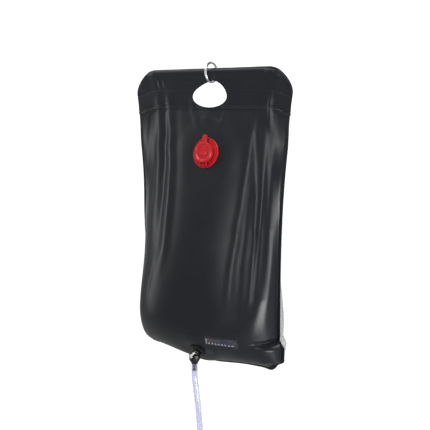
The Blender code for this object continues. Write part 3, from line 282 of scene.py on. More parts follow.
def seam_bottom(x):
    """Height of the bottom weld, which rises towards the corners."""
    across = min(abs(x) / (CORNER_WIDTH / 2), 1.0)
    return BAG_BOTTOM + BOTTOM_BOW * across ** 2 + BOTTOM_ARCH * math.sin(math.pi * across) ** 2


def bulge(share, depth):
    """Depth of one side on the centre line: fuller downwards, round at the bottom."""
    if share < BELLY_SHARE:
        return depth * (1.0 - (1.0 - share / BELLY_SHARE) ** BULGE_POWER)
    below = min((share - BELLY_SHARE) / (1.0 - BELLY_SHARE), 1.0)
    return depth * math.sqrt(1.0 - below ** 2)


def bag_depth(across, share, depth):
    """Depth of one side at shares of the half width and of the height."""
    if share < SLACK_SHARE:
        blend, powers = share / SLACK_SHARE, zip(TOP_SECTION, SLACK_SECTION)
    else:
        blend = smoothstep((share - SLACK_SHARE) / (BELLY_SHARE - SLACK_SHARE))
        powers = zip(SLACK_SECTION, BELLY_SECTION)
    fullness, edge = [start + (end - start) * blend for start, end in powers]
    return bulge(share, depth) * max(1.0 - abs(across) ** fullness, 0.0) ** edge


def round_corner(x, z, radius, half, low):
    """Bring a point near a bottom corner on to a round corner."""
    off_x = abs(x) - (half - radius)
    off_z = low + radius - z
    if off_x <= 0 or off_z <= 0:
        return x, z
    squeeze = max(off_x, off_z) / math.hypot(off_x, off_z)
    return (math.copysign(half - radius + off_x * squeeze, x),
            low + radius - off_z * squeeze)


WELD_SHARE = 0.96            # of the columns on each side of the middle; the rest are weld


def bag_point(u, v, side, depth):
    """A point of a panel, u from edge to edge in -1..1 and v from the top edge down.

    v below 0 is the flat strip inside the header, 0..1 the water space, above 1 the weld.
    """
    share = min(max(v, 0.0), 1.0)
    half = half_width(share)
    inner = half - FIN
    beyond = max(abs(u) - WELD_SHARE, 0.0) / (1.0 - WELD_SHARE)
    x = math.copysign(inner * crowd(min(abs(u) / WELD_SHARE, 1.0)) + FIN * beyond, u)
    across = min(abs(x) / inner, 1.0)
    if v < 0:
        z = seam_top(x) - v * (BAG_TOP_DROP - SEAM_DROP)
        return Vector((x + BAG_SHIFT, side * PANEL_Y, z))
    z = seam_top(x) - share * (seam_top(x) - seam_bottom(x)) - max(v - 1.0, 0.0) * FIN
    y = PANEL_Y + (bag_depth(across, share, depth) if v < 1 else 0.0)
    x, z = round_corner(x, z, BAG_CORNER, CORNER_WIDTH / 2, seam_bottom(CORNER_WIDTH / 2) - FIN)
    return Vector((x + BAG_SHIFT, side * y, z))


def crowd(along):
    """Columns closer together towards the welds, where the sheet turns back."""
    return 0.25 * along + 0.75 * math.sin(math.pi / 2 * along)


# Shares of a panel's rows at which its flat top strip, its sides and its turn under end.
STRIP_ROWS, SIDE_ROWS, TURN_ROWS = 0.03, 0.72, 0.97


def new_grid(name, columns, rows, size=2):
    """A flat grid about the origin, for a sheet to be shaped from."""
    bpy.ops.mesh.primitive_grid_add(x_subdivisions=columns, y_subdivisions=rows, size=size)
    return named(name)


def panel_grid(name, side, depth, columns, rows):
    """A fine grid over a whole panel, with more rows where it turns under."""
    panel = new_grid(name, columns, rows)
    for vertex in panel.data.vertices:
        u, way = vertex.co.x, (1.0 - vertex.co.y) / 2
        if way < STRIP_ROWS:
            v = (way - STRIP_ROWS) / STRIP_ROWS
        elif way < SIDE_ROWS:
            v = BELLY_SHARE * (way - STRIP_ROWS) / (SIDE_ROWS - STRIP_ROWS)
        elif way < TURN_ROWS:
            turn = (way - SIDE_ROWS) / (TURN_ROWS - SIDE_ROWS)
            v = BELLY_SHARE + (1.0 - BELLY_SHARE) * math.sin(math.pi / 2 * turn)
        else:
            v = 1.0 + (way - TURN_ROWS) / (1.0 - TURN_ROWS)
        vertex.co = bag_point(u, v, side, depth)
    return panel


front = panel_grid("front_sheet", -1, FRONT_DEPTH, 170, 230)
back = panel_grid("back_sheet", 1, BACK_DEPTH, 110, 150)
print("panel grids", len(front.data.vertices), len(back.data.vertices))

# %% [markdown]
# Welding a wide sheet to a narrower header gathers it into folds, which start at the weld, run
# down and die out where the water pulls the sheet tight. Each fold here is a short list of
# places down the bag, as across, up, height and half width in millimetres. A negative height is
# a valley.

# %% Folds
FOLD_FADE = 0.060            # how far a fold fades out above its first place


def in_metres(folds):
    """Folds written in millimetres, in metres."""
    return [[tuple(value * MM for value in knot) for knot in fold] for fold in folds]


FOLDS = in_metres((
    # ridges and valleys on the left
    ((-142, -94, 1, 8), (-133, -155, 2.4, 10), (-127, -217, 2.6, 11), (-123, -280, 2.2, 12),
     (-125, -388, 0, 13)),
    ((-125, -94, -0.6, 6), (-113, -155, -1.4, 7), (-106, -217, -1.4, 8), (-102, -290, -1.4, 8),
     (-98, -400, 0, 9)),
    ((-111, -94, 1.2, 8), (-97, -155, 2.6, 10), (-86, -217, 2.6, 10), (-81, -280, 2.8, 11),
     (-79, -370, 2, 12), (-90, -450, 0, 13)),
    ((-90, -94, -0.3, 10), (-68, -217, -0.8, 14), (-60, -330, -0.6, 16), (-64, -452, 0, 16)),
    ((-109, -400, 0, 7), (-111, -430, 1.4, 7), (-118, -465, 1.4, 7), (-126, -495, 0, 8)),
    # the broad double fold on the right, and the valley beside it
    ((111, -97, 0.8, 7), (104, -169, 1.4, 8), (100, -266, 2, 8), (97, -330, 2.2, 9),
     (94, -395, 2.2, 9), (95, -448, 1.6, 10), (95, -490, 0, 12)),
    ((114, -180, 0, 8), (114, -265, 1.6, 9), (114, -329, 2, 9), (112, -394, 2, 10),
     (116, -446, 1, 11), (116, -480, 0, 11)),
    ((113, -130, -0.8, 8), (120, -207, -1.8, 9), (124, -265, -2.6, 10), (128, -372, -3, 10),
     (132, -456, -2.4, 11), (134, -500, 0, 12)),
    # the thin fold, its valley and the swelling at the right edge
    ((136, -150, 0.5, 6), (138, -264, 1.6, 6), (138, -350, 1.8, 6), (139, -435, 1.6, 6),
     (139, -475, 0, 7)),
    ((145, -200, -0.5, 5), (145, -264, -1.2, 5), (146, -328, -1.4, 5), (147, -414, -1.4, 6),
     (145, -465, 0, 6)),
    ((149, -200, 1, 8), (150, -285, 2.2, 10), (154, -394, 4.5, 12), (154, -459, 6.5, 16),
     (153, -500, 3, 18), (152, -535, 0, 18)),
    # short folds under the header and beside the hand hole
    ((144, -82, 2, 4), (146, -110, 1.2, 6), (148, -140, 0, 7)),
    ((-47, -94, 0.8, 7), (-36, -113, 1, 8), (-24, -137, 0, 9)),
    ((37, -94, 0.8, 7), (34, -112, 1, 8), (27, -132, 0, 9)),
    ((-6, -94, 2, 20), (-4, -110, 2, 18), (0, -132, 0, 16)),
))


def fold_at(knots, z, soft):
    """A fold's centre, height and half width where it passes a height."""
    for high, low in zip(knots, knots[1:]):
        if low[1] <= z:
            break
    share = (high[1] - z) / (high[1] - low[1])
    bend = smoothstep(share) if soft else share
    return (high[0] + (low[0] - high[0]) * bend, high[2] + (low[2] - high[2]) * share,
            high[3] + (low[3] - high[3]) * share)


def fold_height(x, z):
    """How far the folds lift the front sheet at a place on it."""
    total = 0.0
    for knots in FOLDS:
        over = max(z - knots[0][1], 0.0) / FOLD_FADE
        if over >= 1.0 or z < knots[-1][1]:
            continue
        centre, height, width = fold_at(knots, min(z, knots[0][1]), True)
        total += height * (1.0 - over) * bell(x, centre, width)
    return total


# %% Stiff flanges hold the sheet flat
FILLER_PLACE = Vector((0.0040, -0.02281, -0.17822))
FILLER_AXIS = Vector((0.0, -0.9781, 0.2079))
OUTLET_PLACE = Vector((0.0158, -0.07032, -0.57802))
OUTLET_AXIS = Vector((0.0, -0.8007, -0.5991))
# Each seat: its middle, its axis, the radius that is flat and the radius where it fades out.
SEATS = ((FILLER_PLACE - FILLER_AXIS * SHEET / 2, FILLER_AXIS, 0.034, 0.085),
         (OUTLET_PLACE - OUTLET_AXIS * SHEET / 2, OUTLET_AXIS, 0.019, 0.055))


def settle(point):
    """Lay a point of the front sheet on the flat seats of the filler and of the outlet."""
    for place, axis, flat, blend in SEATS:
        offset = point - place
        lift = offset.dot(axis)
        distance = (offset - axis * lift).length
        if distance < blend and abs(lift) < blend and point.y < place.y / 4:
            point = point - axis * (lift * (1.0 - smoothstep((distance - flat) / (blend - flat))))
    return point


HEADER_TAPER = 0.026         # the header is this much narrower at its lower edge
TAPER_FADE_Z = -0.100        # the sheets lose that taper over the 70 mm below this height
ROLL_TOP_Z, ROLL_LOW_Z = -0.546, -0.598     # the two ends of the rolled corner
EASE_SHARE = 0.32            # how much flatter the back sheet is beside the right-hand weld


def draw_edges(point):
    """Taper a sheet's top, draw its left edge in and roll its right-hand bottom corner.

    The corner rolls outwards and forwards, with a nick above the roll and a lump below it.
    """
    taper = HEADER_TAPER * (1.0 - ramp(point.z, TAPER_FADE_Z, -0.070))
    point = point - Vector(((point.x - BAG_SHIFT) * taper, 0, 0))
    reach = ramp(point.x, 0.125, 0.040)
    roll = ramp(point.z, ROLL_TOP_Z, -0.012) * ramp(point.z, ROLL_LOW_Z, 0.014) * reach
    nick = bell(point.z, ROLL_TOP_Z, 0.004) * reach
    lump = bell(point.x, 0.150, 0.012) * ramp(point.z, -0.580, -0.020)
    left = ramp(point.x, -0.100, -0.050) * bell(point.z, -0.33, 0.07)
    outward = 0.0140 * roll - 0.0030 * nick - 0.0045 * left
    backward = 0.0040 * nick - 0.0070 * roll
    return point + Vector((outward, backward, -0.0030 * lump))


def ease_back(point):
    """Draw the back sheet in beside the right-hand weld, as the photograph's outline shows."""
    ease = EASE_SHARE * ramp(point.x, 0.085, 0.055) * bell(point.z, -0.43, 0.070)
    return Vector((point.x, point.y * (1.0 - ease), point.z))


WAVE_HEIGHT = 0.0016         # the film's broad waviness between the folds


def lay_folds(panel, side, strength):
    """Lift the folds along the sheet's own normals, then settle it on its flanges."""
    mesh = panel.data
    mesh.update()
    fold_edge = half_width(0.5) - 0.004
    lifts = []
    for vertex in mesh.vertices:
        x, y, z = vertex.co
        normal = vertex.normal if vertex.normal.y * side > 0 else -vertex.normal
        edge = ramp(abs(x - BAG_SHIFT), fold_edge, -0.012)
        wave = noise.noise(Vector((x * 9, side * 2.0, z * 3.5))) * WAVE_HEIGHT
        low = ramp(z - BAG_BOTTOM, 0.01, 0.05)
        lifts.append(normal * ((fold_height(x, z) * strength + wave * low) * edge))
    for vertex, lift in zip(mesh.vertices, lifts):
        moved = vertex.co + lift
        moved = settle(moved) if side < 0 else ease_back(moved)
        moved.y = side * max(side * moved.y, PANEL_Y)
        vertex.co = draw_edges(moved)


lay_folds(front, -1, 1.0)
lay_folds(back, 1, 0.6)

# %% [markdown]
# The header is one strip of PVC folded over a rod and welded below it. It is round over the rod
# and flat at the ends, where it also droops. The weld lines are pressed in, and the folds of
# the bag run up through them as small creases.

# %% Header sheet
HEM_NECK_DROP = 0.0148
HEM_END_RUN = 0.036
HEM_RADIUS = 0.015 / 2 + GAP + SHEET / 2
WELD_DEPTH = 0.00070
WELD_HALF_WIDTH = 0.0010
WELD_DROPS = (0.034, 0.0662, 0.0697)     # the rod's pocket, then the bag's double weld
FOLD_TOP_Z = -0.092          # above this height the bag's folds go straight up the header
HEADER_COLUMNS, LEG_STEPS, FLANK_STEPS, ROLL_STEPS = 210, 46, 6, 16
STRAIGHT_SHARE = 0.74        # of the columns on each side; the rest go round the corner
CREASE_FADE = 0.004
HEADER_WAVE = 0.00035
CREASES = in_metres((
    ((135, -10, 1.4, 2.4), (138, -18, 1.4, 2.8), (142, -30, 0.6, 3.4), (144, -40, 0, 4)),
    ((148, -12, 2.2, 6), (152, -20, 3.2, 7), (155, -32, 0, 9)),
    ((-134, -24, -0.8, 3.4), (-129, -40, -1, 3.4), (-127, -50, 0, 4)),
    ((-147, -26, -0.6, 3.4), (-142, -42, -0.8, 3.6), (-140, -52, 0, 4)),
))


def header_top(x):
    """Height of the header's upper edge, with its round corners."""
    straight = HEADER_WIDTH / 2 - HEADER_CORNER
    beyond = min(max(abs(x) - straight, 0.0), HEADER_CORNER)
    drop = HEADER_CORNER - math.sqrt(HEADER_CORNER ** 2 - beyond ** 2)
    return ROD_Z + HEM_RADIUS + SHEET / 2 - drop - header_sag(x)


def header_section(x):
    """Points (y, z) of the hem's section at x, from the front leg's edge over to the back."""
    run = (abs(x) - ROD_LENGTH / 2 - SHEET) / HEM_END_RUN
    radius = HEM_RADIUS + (LEG_Y - HEM_RADIUS) * smoothstep(run)
    centre = header_top(x) - SHEET / 2 - radius
    neck_drop = HEM_NECK_DROP * (radius - LEG_Y) / (HEM_RADIUS - LEG_Y)
    neck = centre - neck_drop
    lower = ROD_Z - HEADER_DROP - header_sag(x)
    leg = [(LEG_Y, lower + (neck - lower) * step / LEG_STEPS) for step in range(LEG_STEPS)]
    distance = math.hypot(LEG_Y, neck_drop)
    tangent = math.atan2(-neck_drop, LEG_Y)
    if distance > radius:
        tangent += math.acos(radius / distance)
    roll = []
    for step in range(ROLL_STEPS + 1):
        angle = tangent + (math.pi / 2 - tangent) * step / ROLL_STEPS
        roll.append((radius * math.cos(angle), centre + radius * math.sin(angle)))
    out, high = roll[0]
    flank = [(LEG_Y + (out - LEG_Y) * step / FLANK_STEPS,
              neck + (high - neck) * step / FLANK_STEPS) for step in range(FLANK_STEPS)]
    half = leg + flank + roll
    return [(-y, z) for y, z in half] + [(y, z) for y, z in reversed(half[:-1])]


def crease_height(x, z):
    """How far the short creases lift the header. Each fades in from its upper end."""
    total = 0.0
    for knots in CREASES:
        if knots[-1][1] <= z <= knots[0][1]:
            centre, height, width = fold_at(knots, z, False)
            fade = min(1.0, (knots[0][1] - z) / CREASE_FADE)
            total += height * fade * bell(x, centre, width)
    return total


def header_relief(x, z, y):
    """Welds, creases and the bag's folds on the header, as a lift of its front or back."""
    drop = ROD_Z - header_sag(x) - z
    lift = 0.0
    for weld in WELD_DROPS:
        lift -= WELD_DEPTH * bell(drop, weld, WELD_HALF_WIDTH)
    if y < 0:
        lift += crease_height(x + BAG_SHIFT, z)
        folds = fold_height(x + BAG_SHIFT, min(z, FOLD_TOP_Z - header_sag(x)))
        lift += folds * ramp(drop, 0.026, 0.045)
    return lift + noise.noise(Vector((x * 28, y * 40, z * 22))) * HEADER_WAVE


def header_place(along):
    """Where a column lies across the header: close together round the top corners."""
    straight = HEADER_WIDTH / 2 - HEADER_CORNER
    if abs(along) < STRAIGHT_SHARE:
        return along / STRAIGHT_SHARE * straight
    turn = math.pi / 2 * (abs(along) - STRAIGHT_SHARE) / (1.0 - STRAIGHT_SHARE)
    return math.copysign(straight + HEADER_CORNER * math.sin(turn), along)


section_rows = len(header_section(0.0)) - 1
header = new_grid("header_sheet", HEADER_COLUMNS, section_rows)
sections = {}
for vertex in header.data.vertices:
    x = header_place(vertex.co.x)
    row = round((vertex.co.y + 1.0) / 2 * section_rows)
    key = round(x, 6)
    if key not in sections:
        sections[key] = header_section(x)
    y, z = sections[key][row]
    vertex.co = (x, y, z)
header.data.update()
lifts = []
for vertex in header.data.vertices:
    x, y, z = vertex.co
    outward = vertex.normal if vertex.normal.y * y > 0 else -vertex.normal
    if abs(y) < 0.0015:      # on top of the roll, where front and back meet
        outward = Vector((0, 0, 1))
    lift = header_relief(x, z, y)
    if abs(y) < LEG_Y + GAP:
        lift = max(lift, -WELD_DEPTH)
    lifts.append(outward * lift)
for vertex, lift in zip(header.data.vertices, lifts):
    vertex.co += lift
    vertex.co.x *= 1.0 - HEADER_TAPER * ramp(vertex.co.z, -0.045, -0.050)
    vertex.co.x += BAG_SHIFT
print("header sheet", len(header.data.vertices), "vertices")

# %% [markdown]
# The hand hole is cut through all four layers at once, with one prism. Its outline is half an
# ellipse below, drawn up to a narrow peak where the ring pulls on the hem.

# %% Hand hole
HOLE_HALF = 0.089 / 2
PEAK_SHIFT = 0.0060          # the peak stands this far right of the hole's middle
RING_BORE = 0.0168           # the ring's inner radius about the rod, which the peak just clears
WAIST_DROP, HOLE_DROP = 0.0485, 0.0700      # below the rod: the widest place and the lowest


def bow(start, near, far, end, steps):
    """Points of a cubic curve after its start: two handles between its two ends."""
    for step in range(1, steps + 1):
        share = step / steps
        rest = 1.0 - share
        yield (start * rest ** 3 + near * (3 * share * rest ** 2)
               + far * (3 * share ** 2 * rest) + end * share ** 3)


def hand_hole_outline(steps=24):
    """Points (x, z) round the hole: half an ellipse below, then two curves up to the peak."""
    top = ROD_Z - math.sqrt((RING_BORE - GAP) ** 2 - (LEG_Y + SHEET / 2) ** 2)
    waist = ROD_Z - WAIST_DROP
    depth = HOLE_DROP - WAIST_DROP
    lower = [Vector((HOLE_HALF * math.cos(math.pi * (1 + step / (2 * steps))),
                     waist + depth * math.sin(math.pi * (1 + step / (2 * steps)))))
             for step in range(2 * steps + 1)]
    right, left = Vector((HOLE_HALF, waist)), Vector((-HOLE_HALF, waist))
    peak = Vector((PEAK_SHIFT, top))
    rise = top - waist
    upper = list(bow(right, right + Vector((0, rise * 0.42)),
                     peak + Vector((HOLE_HALF * 0.50, 0)), peak, steps))
    upper += list(bow(peak, peak - Vector((HOLE_HALF * 0.40, rise * 0.14)),
                      left + Vector((0, rise * 0.46)), left, steps))[:-1]
    return [(point.x + BAG_SHIFT, point.y) for point in lower + upper]


outline = hand_hole_outline()
bpy.ops.mesh.primitive_circle_add(vertices=len(outline), radius=0.01, fill_type="NGON")
hole_cutter = named("hole_cutter")
for vertex, (x, z) in zip(hole_cutter.data.vertices, outline):
    vertex.co = (x, -0.02, z)
bpy.ops.object.mode_set(mode="EDIT")
bpy.ops.mesh.select_all(action="SELECT")
bpy.ops.mesh.extrude_region_move(TRANSFORM_OT_translate={"value": (0, 0.04, 0)})
bpy.ops.mesh.select_all(action="SELECT")
bpy.ops.mesh.normals_make_consistent(inside=False)
bpy.ops.object.mode_set(mode="OBJECT")

# Each sheet gets its wall, the hole through it and a smooth shade.
for sheet in (header, front, back):
    apply_modifier(sheet, "SOLIDIFY", thickness=SHEET, offset=0.0)
    apply_modifier(sheet, "BOOLEAN", object=hole_cutter, operation="DIFFERENCE", solver="EXACT")
    bpy.ops.object.shade_smooth_by_angle(angle=math.radians(40))
bpy.data.objects.remove(hole_cutter, do_unlink=True)

# %% [markdown]
# Round pieces are turned: a ring of edges is pushed along the axis and scaled at each point of
# a short profile, as a lathe tool would cut it. Blocks, pins and holes are then joined on or cut
# out. A small bevel breaks the sharp edges, because moulded edges always catch a little light.
# On the filler's flange and lid the short edges beside the cuts hold it to nothing, so their
# edges stay sharp. Profiles, blocks, pins and bars are in millimetres.

# %% Helpers for turned and joined pieces
def axes(place, z_axis, x_axis=(1, 0, 0)):
    """A frame at a place, with its Z along z_axis and its X as near as can be to x_axis."""
    z = Vector(z_axis).normalized()
    x = (Vector(x_axis) - z * z.dot(Vector(x_axis))).normalized()
    return Matrix.Translation(place) @ Matrix((x, z.cross(x), z)).transposed().to_4x4()


def turned(name, profile, steps=96):
    """A round piece about Z through (radius, height) points."""
    profile = [(radius * MM, height * MM) for radius, height in profile]
    bpy.ops.mesh.primitive_circle_add(vertices=steps, radius=profile[0][0])
    piece = named(name)
    bpy.ops.object.mode_set(mode="EDIT")
    bpy.ops.mesh.select_all(action="SELECT")
    bpy.ops.transform.translate(value=(0, 0, profile[0][1]))
    for (last, low), (radius, high) in zip(profile, profile[1:]):
        bpy.ops.mesh.extrude_region_move(TRANSFORM_OT_translate={"value": (0, 0, high - low)})
        bpy.ops.transform.resize(value=(radius / last, radius / last, 1),
                                 center_override=(0, 0, 0))
    bpy.ops.mesh.select_all(action="SELECT")
    bpy.ops.mesh.remove_doubles(threshold=1e-6)
    bpy.ops.mesh.select_all(action="DESELECT")
    bpy.ops.mesh.select_non_manifold(extend=False)
    bpy.ops.mesh.fill_holes(sides=0)
    bpy.ops.mesh.select_all(action="SELECT")
    bpy.ops.mesh.normals_make_consistent(inside=False)
    bpy.ops.object.mode_set(mode="OBJECT")
    return piece


def pin(name, start, end, radius, steps=48):
    """A round pin between two points."""
    start, end = Vector(start) * MM, Vector(end) * MM
    bpy.ops.mesh.primitive_cylinder_add(
        vertices=steps, radius=radius * MM, depth=(end - start).length,
        location=(start + end) / 2,
        rotation=(end - start).to_track_quat("Z", "Y").to_euler())
    bpy.ops.object.transform_apply()
    return named(name)


def block(name, low, high):
    """A box between two corners."""
    low, high = Vector(low) * MM, Vector(high) * MM
    bpy.ops.mesh.primitive_cube_add(size=1, location=(low + high) / 2, scale=high - low)
    bpy.ops.object.transform_apply()
    return named(name)


def bar(name, length, width, low, high):
    """A flat bar with round ends along X: a disc whose one half is drawn out."""
    piece = pin(name, (0, 0, low), (0, 0, high), width / 2, 64)
    bpy.ops.object.mode_set(mode="EDIT")
    bpy.ops.mesh.select_all(action="DESELECT")
    bpy.ops.object.mode_set(mode="OBJECT")
    for vertex in piece.data.vertices:
        vertex.select = vertex.co.x > 0
    bpy.ops.object.mode_set(mode="EDIT")
    bpy.ops.transform.translate(value=((length - width) * MM, 0, 0))
    bpy.ops.object.mode_set(mode="OBJECT")
    return piece


def combine(piece, tool, operation):
    """Join a tool to a piece or cut it out, and delete the tool."""
    apply_modifier(piece, "BOOLEAN", object=tool, operation=operation, solver="EXACT")
    bpy.data.objects.remove(tool, do_unlink=True)
    return piece


def joined(name, pieces):
    """Join pieces into the first of them."""
    pick(*pieces)
    bpy.ops.object.join()
    pieces[0].name = name
    return pieces[0]


def move_to(piece, place):
    """Lay a piece made at the origin in a frame, and leave it unturned there."""
    piece.matrix_world = place @ piece.matrix_world
    pick(piece)
    bpy.ops.object.transform_apply()
    return piece


def finish_piece(piece, bevel_mm, place, material, body, node):
    """Break the edges, shade smooth, lay the piece in its frame and tie it to the CAD node."""
    if bevel_mm:
        apply_modifier(piece, "BEVEL", width=bevel_mm * MM, segments=3, limit_method="ANGLE",
                       angle_limit=math.radians(32))
    move_to(piece, place)
    bpy.ops.object.shade_smooth_by_angle(angle=math.radians(38))
    tie(piece, body, node, material)

# %% [markdown]
# Finishes of the hard pieces. Plastics are polypropylene, acetal and ABS with their usual
# index near 1.49 and a satin gloss, the wire is bright chromium on steel, and the seals are
# nitrile rubber. The pair after the colour is the least and the most roughness, and the next
# pair the width and height of the grain in millimetres.

# %% Materials of the hard pieces
chrome = new_material("chrome_plated_steel", "#e2e3e6", (0.22, 0.34), (2.0, 0.004), Metallic=1.0)
red_pp = new_material("red_polypropylene", "#be2128", (0.24, 0.36), (0.8, 0.01), IOR=1.49)
black_pp = new_material("black_polypropylene", "#121214", (0.32, 0.44), (0.8, 0.02), IOR=1.49)
white_acetal = new_material("white_acetal", "#e8e8e4", (0.26, 0.36), (0.8, 0.01), IOR=1.48)
grey_abs = new_material("grey_abs", "#8d9096", (0.34, 0.44), (0.8, 0.02), IOR=1.54)
rod_pvc = new_material("grey_pvc_pipe", "#8a8b8d", (0.40, 0.52), (1.2, 0.02), IOR=1.53)
rubber = new_material("black_nitrile_rubber", "#1c1c1c", (0.62, 0.78), (0.6, 0.03), IOR=1.52)

# %% [markdown]
# The filler is two red mouldings: a wide flange with a raised rim and a neck, welded to the
# sheet, and a flip lid with a recess, a round boss in it and a pull tab. The lid's three
# knuckles and the flange's two share one steel pin.

# %% Filler flange
filler = axes(FILLER_PLACE, FILLER_AXIS)
seat, flange_top, rim = 0.3, 2.3, 31.0
neck, neck_bore, neck_top = 18.0, 14.0, 8.5
hinge_y, hinge_z, hinge_radius = -25.6, 5.1, 2.2
knuckle_width, knuckle_gap, knuckles = 3.6, 0.3, 5
knuckle_left = -knuckles * knuckle_width / 2


def knuckle(index):
    """One knuckle of the hinge, and where it starts and ends along the pin."""
    left = knuckle_left + index * knuckle_width + knuckle_gap / 2
    right = left + knuckle_width - knuckle_gap
    eye = pin("eye", (left, hinge_y, hinge_z), (right, hinge_y, hinge_z), hinge_radius)
    return eye, left, right


def drill_hinge(piece):
    """Cut the hinge pin's hole through a piece's knuckles."""
    hole = pin("pin_hole", (2 * knuckle_left, hinge_y, hinge_z),
               (-2 * knuckle_left, hinge_y, hinge_z), 1.2)
    combine(piece, hole, "DIFFERENCE")


flange = turned("filler_flange", [
    (neck_bore, seat), (rim - 0.5, seat), (rim, seat + 0.6), (rim, flange_top + 0.5),
    (rim - 0.8, flange_top + 1.1), (rim - 2.2, flange_top + 1.1), (rim - 3.0, flange_top),
    (neck + 1.0, flange_top), (neck, flange_top + 0.8), (neck, neck_top),
    (neck_bore, neck_top), (neck_bore, seat)])
for index in range(1, knuckles, 2):
    eye, left, right = knuckle(index)
    foot = block("foot", (left, hinge_y - hinge_radius, seat + 0.6),
                 (right, hinge_y + hinge_radius, hinge_z))
    combine(flange, combine(eye, foot, "UNION"), "UNION")
drill_hinge(flange)
finish_piece(flange, 0.15, filler, red_pp, "bag", "filler_body")

# %% Filler lid
lid_edge, lid_top, lid_floor = 21.0, 13.0, 11.0
skirt_low, skirt_inner, lid_under = 4.5, 18.6, 10.1
spigot, spigot_low = 12.5, 7.1
boss = 8.25
AXIS_DOT = 0.3               # a profile ends this near its axis, and the hole is then filled
lid = turned("filler_lid_moulding", [
    (AXIS_DOT, spigot_low), (spigot, spigot_low), (spigot, lid_under), (skirt_inner, lid_under),
    (skirt_inner, skirt_low), (lid_edge, skirt_low), (lid_edge, lid_top - 1.2),
    (lid_edge - 0.5, lid_top - 0.3), (lid_edge - 1.3, lid_top), (lid_edge - 3.2, lid_top),
    (lid_edge - 4.2, lid_top - 0.3), (lid_edge - 6.4, lid_floor), (boss + 0.6, lid_floor),
    (boss, lid_floor + 1.2), (boss - 0.8, lid_floor + 2.0), (boss - 2.4, lid_floor + 2.2),
    (boss - 3.4, lid_floor + 1.9), (AXIS_DOT, lid_floor + 1.7)])
tab = bar("tab", 21.0, 11.5, lid_top - 3.0, lid_top - 0.8)
move_to(tab, axes((0, 21.0 * MM, 0), (0, 0, 1), (0, 1, 0)))
combine(lid, tab, "UNION")
arm_root = 2.1 - lid_edge
arm_slope = Matrix.Rotation(math.atan2(hinge_radius, arm_root - hinge_y), 4, "X")
for index in range(0, knuckles, 2):
    eye, left, right = knuckle(index)
    arm = block("arm", (left, hinge_y, hinge_z), (right, arm_root, hinge_z + 2 * hinge_radius))
    above = block("above", (left - 1, -3, 0), (right + 1, 12, 5))
    corner = Vector((0, hinge_y, hinge_z + hinge_radius)) * MM
    move_to(above, Matrix.Translation(corner) @ arm_slope)
    combine(arm, above, "DIFFERENCE")      # so that the open lid clears the flange's rim
    combine(lid, combine(eye, arm, "UNION"), "UNION")
drill_hinge(lid)
finish_piece(lid, 0.2, filler, red_pp, "lid", "filler_lid")

# %% [markdown]
# The outlet is a black moulding: a flange and stem through the sheet, a round tap housing whose
# nozzle narrows to a barb, and a boss that holds the plug. The white bar on the plug's face is
# the lever. It stands at 45 degrees here, half open.

# %% Outlet and tap lever
outlet = axes(OUTLET_PLACE, OUTLET_AXIS)
tap = axes((0.0158, -0.07921, -0.58467), (0, 0, 1))
stem, plate_low, plate_high, plate_radius = 6.5, 1.6, 3.6, 17.0
spout = move_to(turned("outlet_moulding", [
    (AXIS_DOT, -7.3), (stem, -7.3), (stem, plate_low), (plate_radius - 0.7, plate_low),
    (plate_radius, plate_low + 0.7), (plate_radius, plate_high - 0.7),
    (plate_radius - 0.7, plate_high), (stem + 1.2, plate_high), (stem, plate_high + 1.2),
    (stem, 11.0), (AXIS_DOT, 11.0)]), outlet)
housing, barb, barb_top, barb_end = 11.0, 4.3, -16.8, -32.8
profile = [(AXIS_DOT, 1.5), (housing - 1.5, 1.5), (housing - 0.4, 1.1), (housing, 0.1),
           (housing, -9.0), (housing - 0.5, -10.2), (6.9, -16.2), (6.3, barb_top),
           (barb, barb_top)]
for ridge in range(3):
    top = barb_top - (ridge + 1) * 4.0
    profile += [(barb, top), (barb + 0.22, top), (barb, top - 1.2)]
profile += [(barb, barb_end + 0.6), (barb - 0.6, barb_end), (2.5, barb_end), (2.5, -2.0)]
combine(spout, move_to(turned("nozzle", profile), tap), "UNION")
combine(spout, move_to(pin("tap_boss", (0, 9.0, 0), (0, -12.0, 0), 5.2), tap), "UNION")
combine(spout, move_to(pin("plug_hole", (0, 6.3, 0), (0, -16.0, 0), 4.3), tap), "DIFFERENCE")
still = axes((0, 0, 0), (0, 0, 1))      # for pieces that already lie in their place
finish_piece(spout, 0.15, still, black_pp, "bag", "outlet_body")

lever_frame = axes((0.0158, -0.09121, -0.58467), (0, -1, 0), (1, 0, 1))
lever = bar("tap_lever_moulding", 17.2, 3.8, 0.3, 3.3)
combine(lever, pin("screw_hole", (0, 0, -1), (0, 0, 5), 1.2), "DIFFERENCE")
finish_piece(lever, 0.35, lever_frame, white_acetal, "tap", "tap_lever")

# %% [markdown]
# The ring is round wire bent on a circle about the rod. A gate of the same wire turns on a pin
# in the ring's forked ear and closes against the nose. Both are drawn as tubes a little too
# long, and a block then cuts each end to the slanted face where nose and gate meet.

# %% Ring and gate
RING_RADIUS = 0.0193
RING_WIRE = 0.005
GATE_PIVOT_DEG, GATE_TIP_DEG, NOSE_DEG, EAR_DEG, TAIL_DEG = 28.0, 82.0, 83.5, 34.0, 22.5
MEET_LEAN_DEG = (GATE_TIP_DEG - GATE_PIVOT_DEG) / 2


def ring_axes(angle_deg):
    """Frame on the ring's circle: Z along the wire, Y outwards from the ring's middle."""
    angle = math.radians(angle_deg)
    place = (0, RING_RADIUS * math.cos(angle), ROD_Z + RING_RADIUS * math.sin(angle))
    return axes(place, (0, -math.sin(angle), math.cos(angle)))


def ring_wire(name, start_deg, end_deg):
    """A tube on the ring's circle, a little longer than asked at both ends."""
    start_deg, end_deg = start_deg - 6.0, end_deg + 6.0
    count = math.ceil((end_deg - start_deg) / 6.0)
    points = [ring_axes(start_deg + (end_deg - start_deg) * step / count).translation
              for step in range(count + 1)]
    return smooth_tube(name, points, RING_WIRE / 2, capped=True)


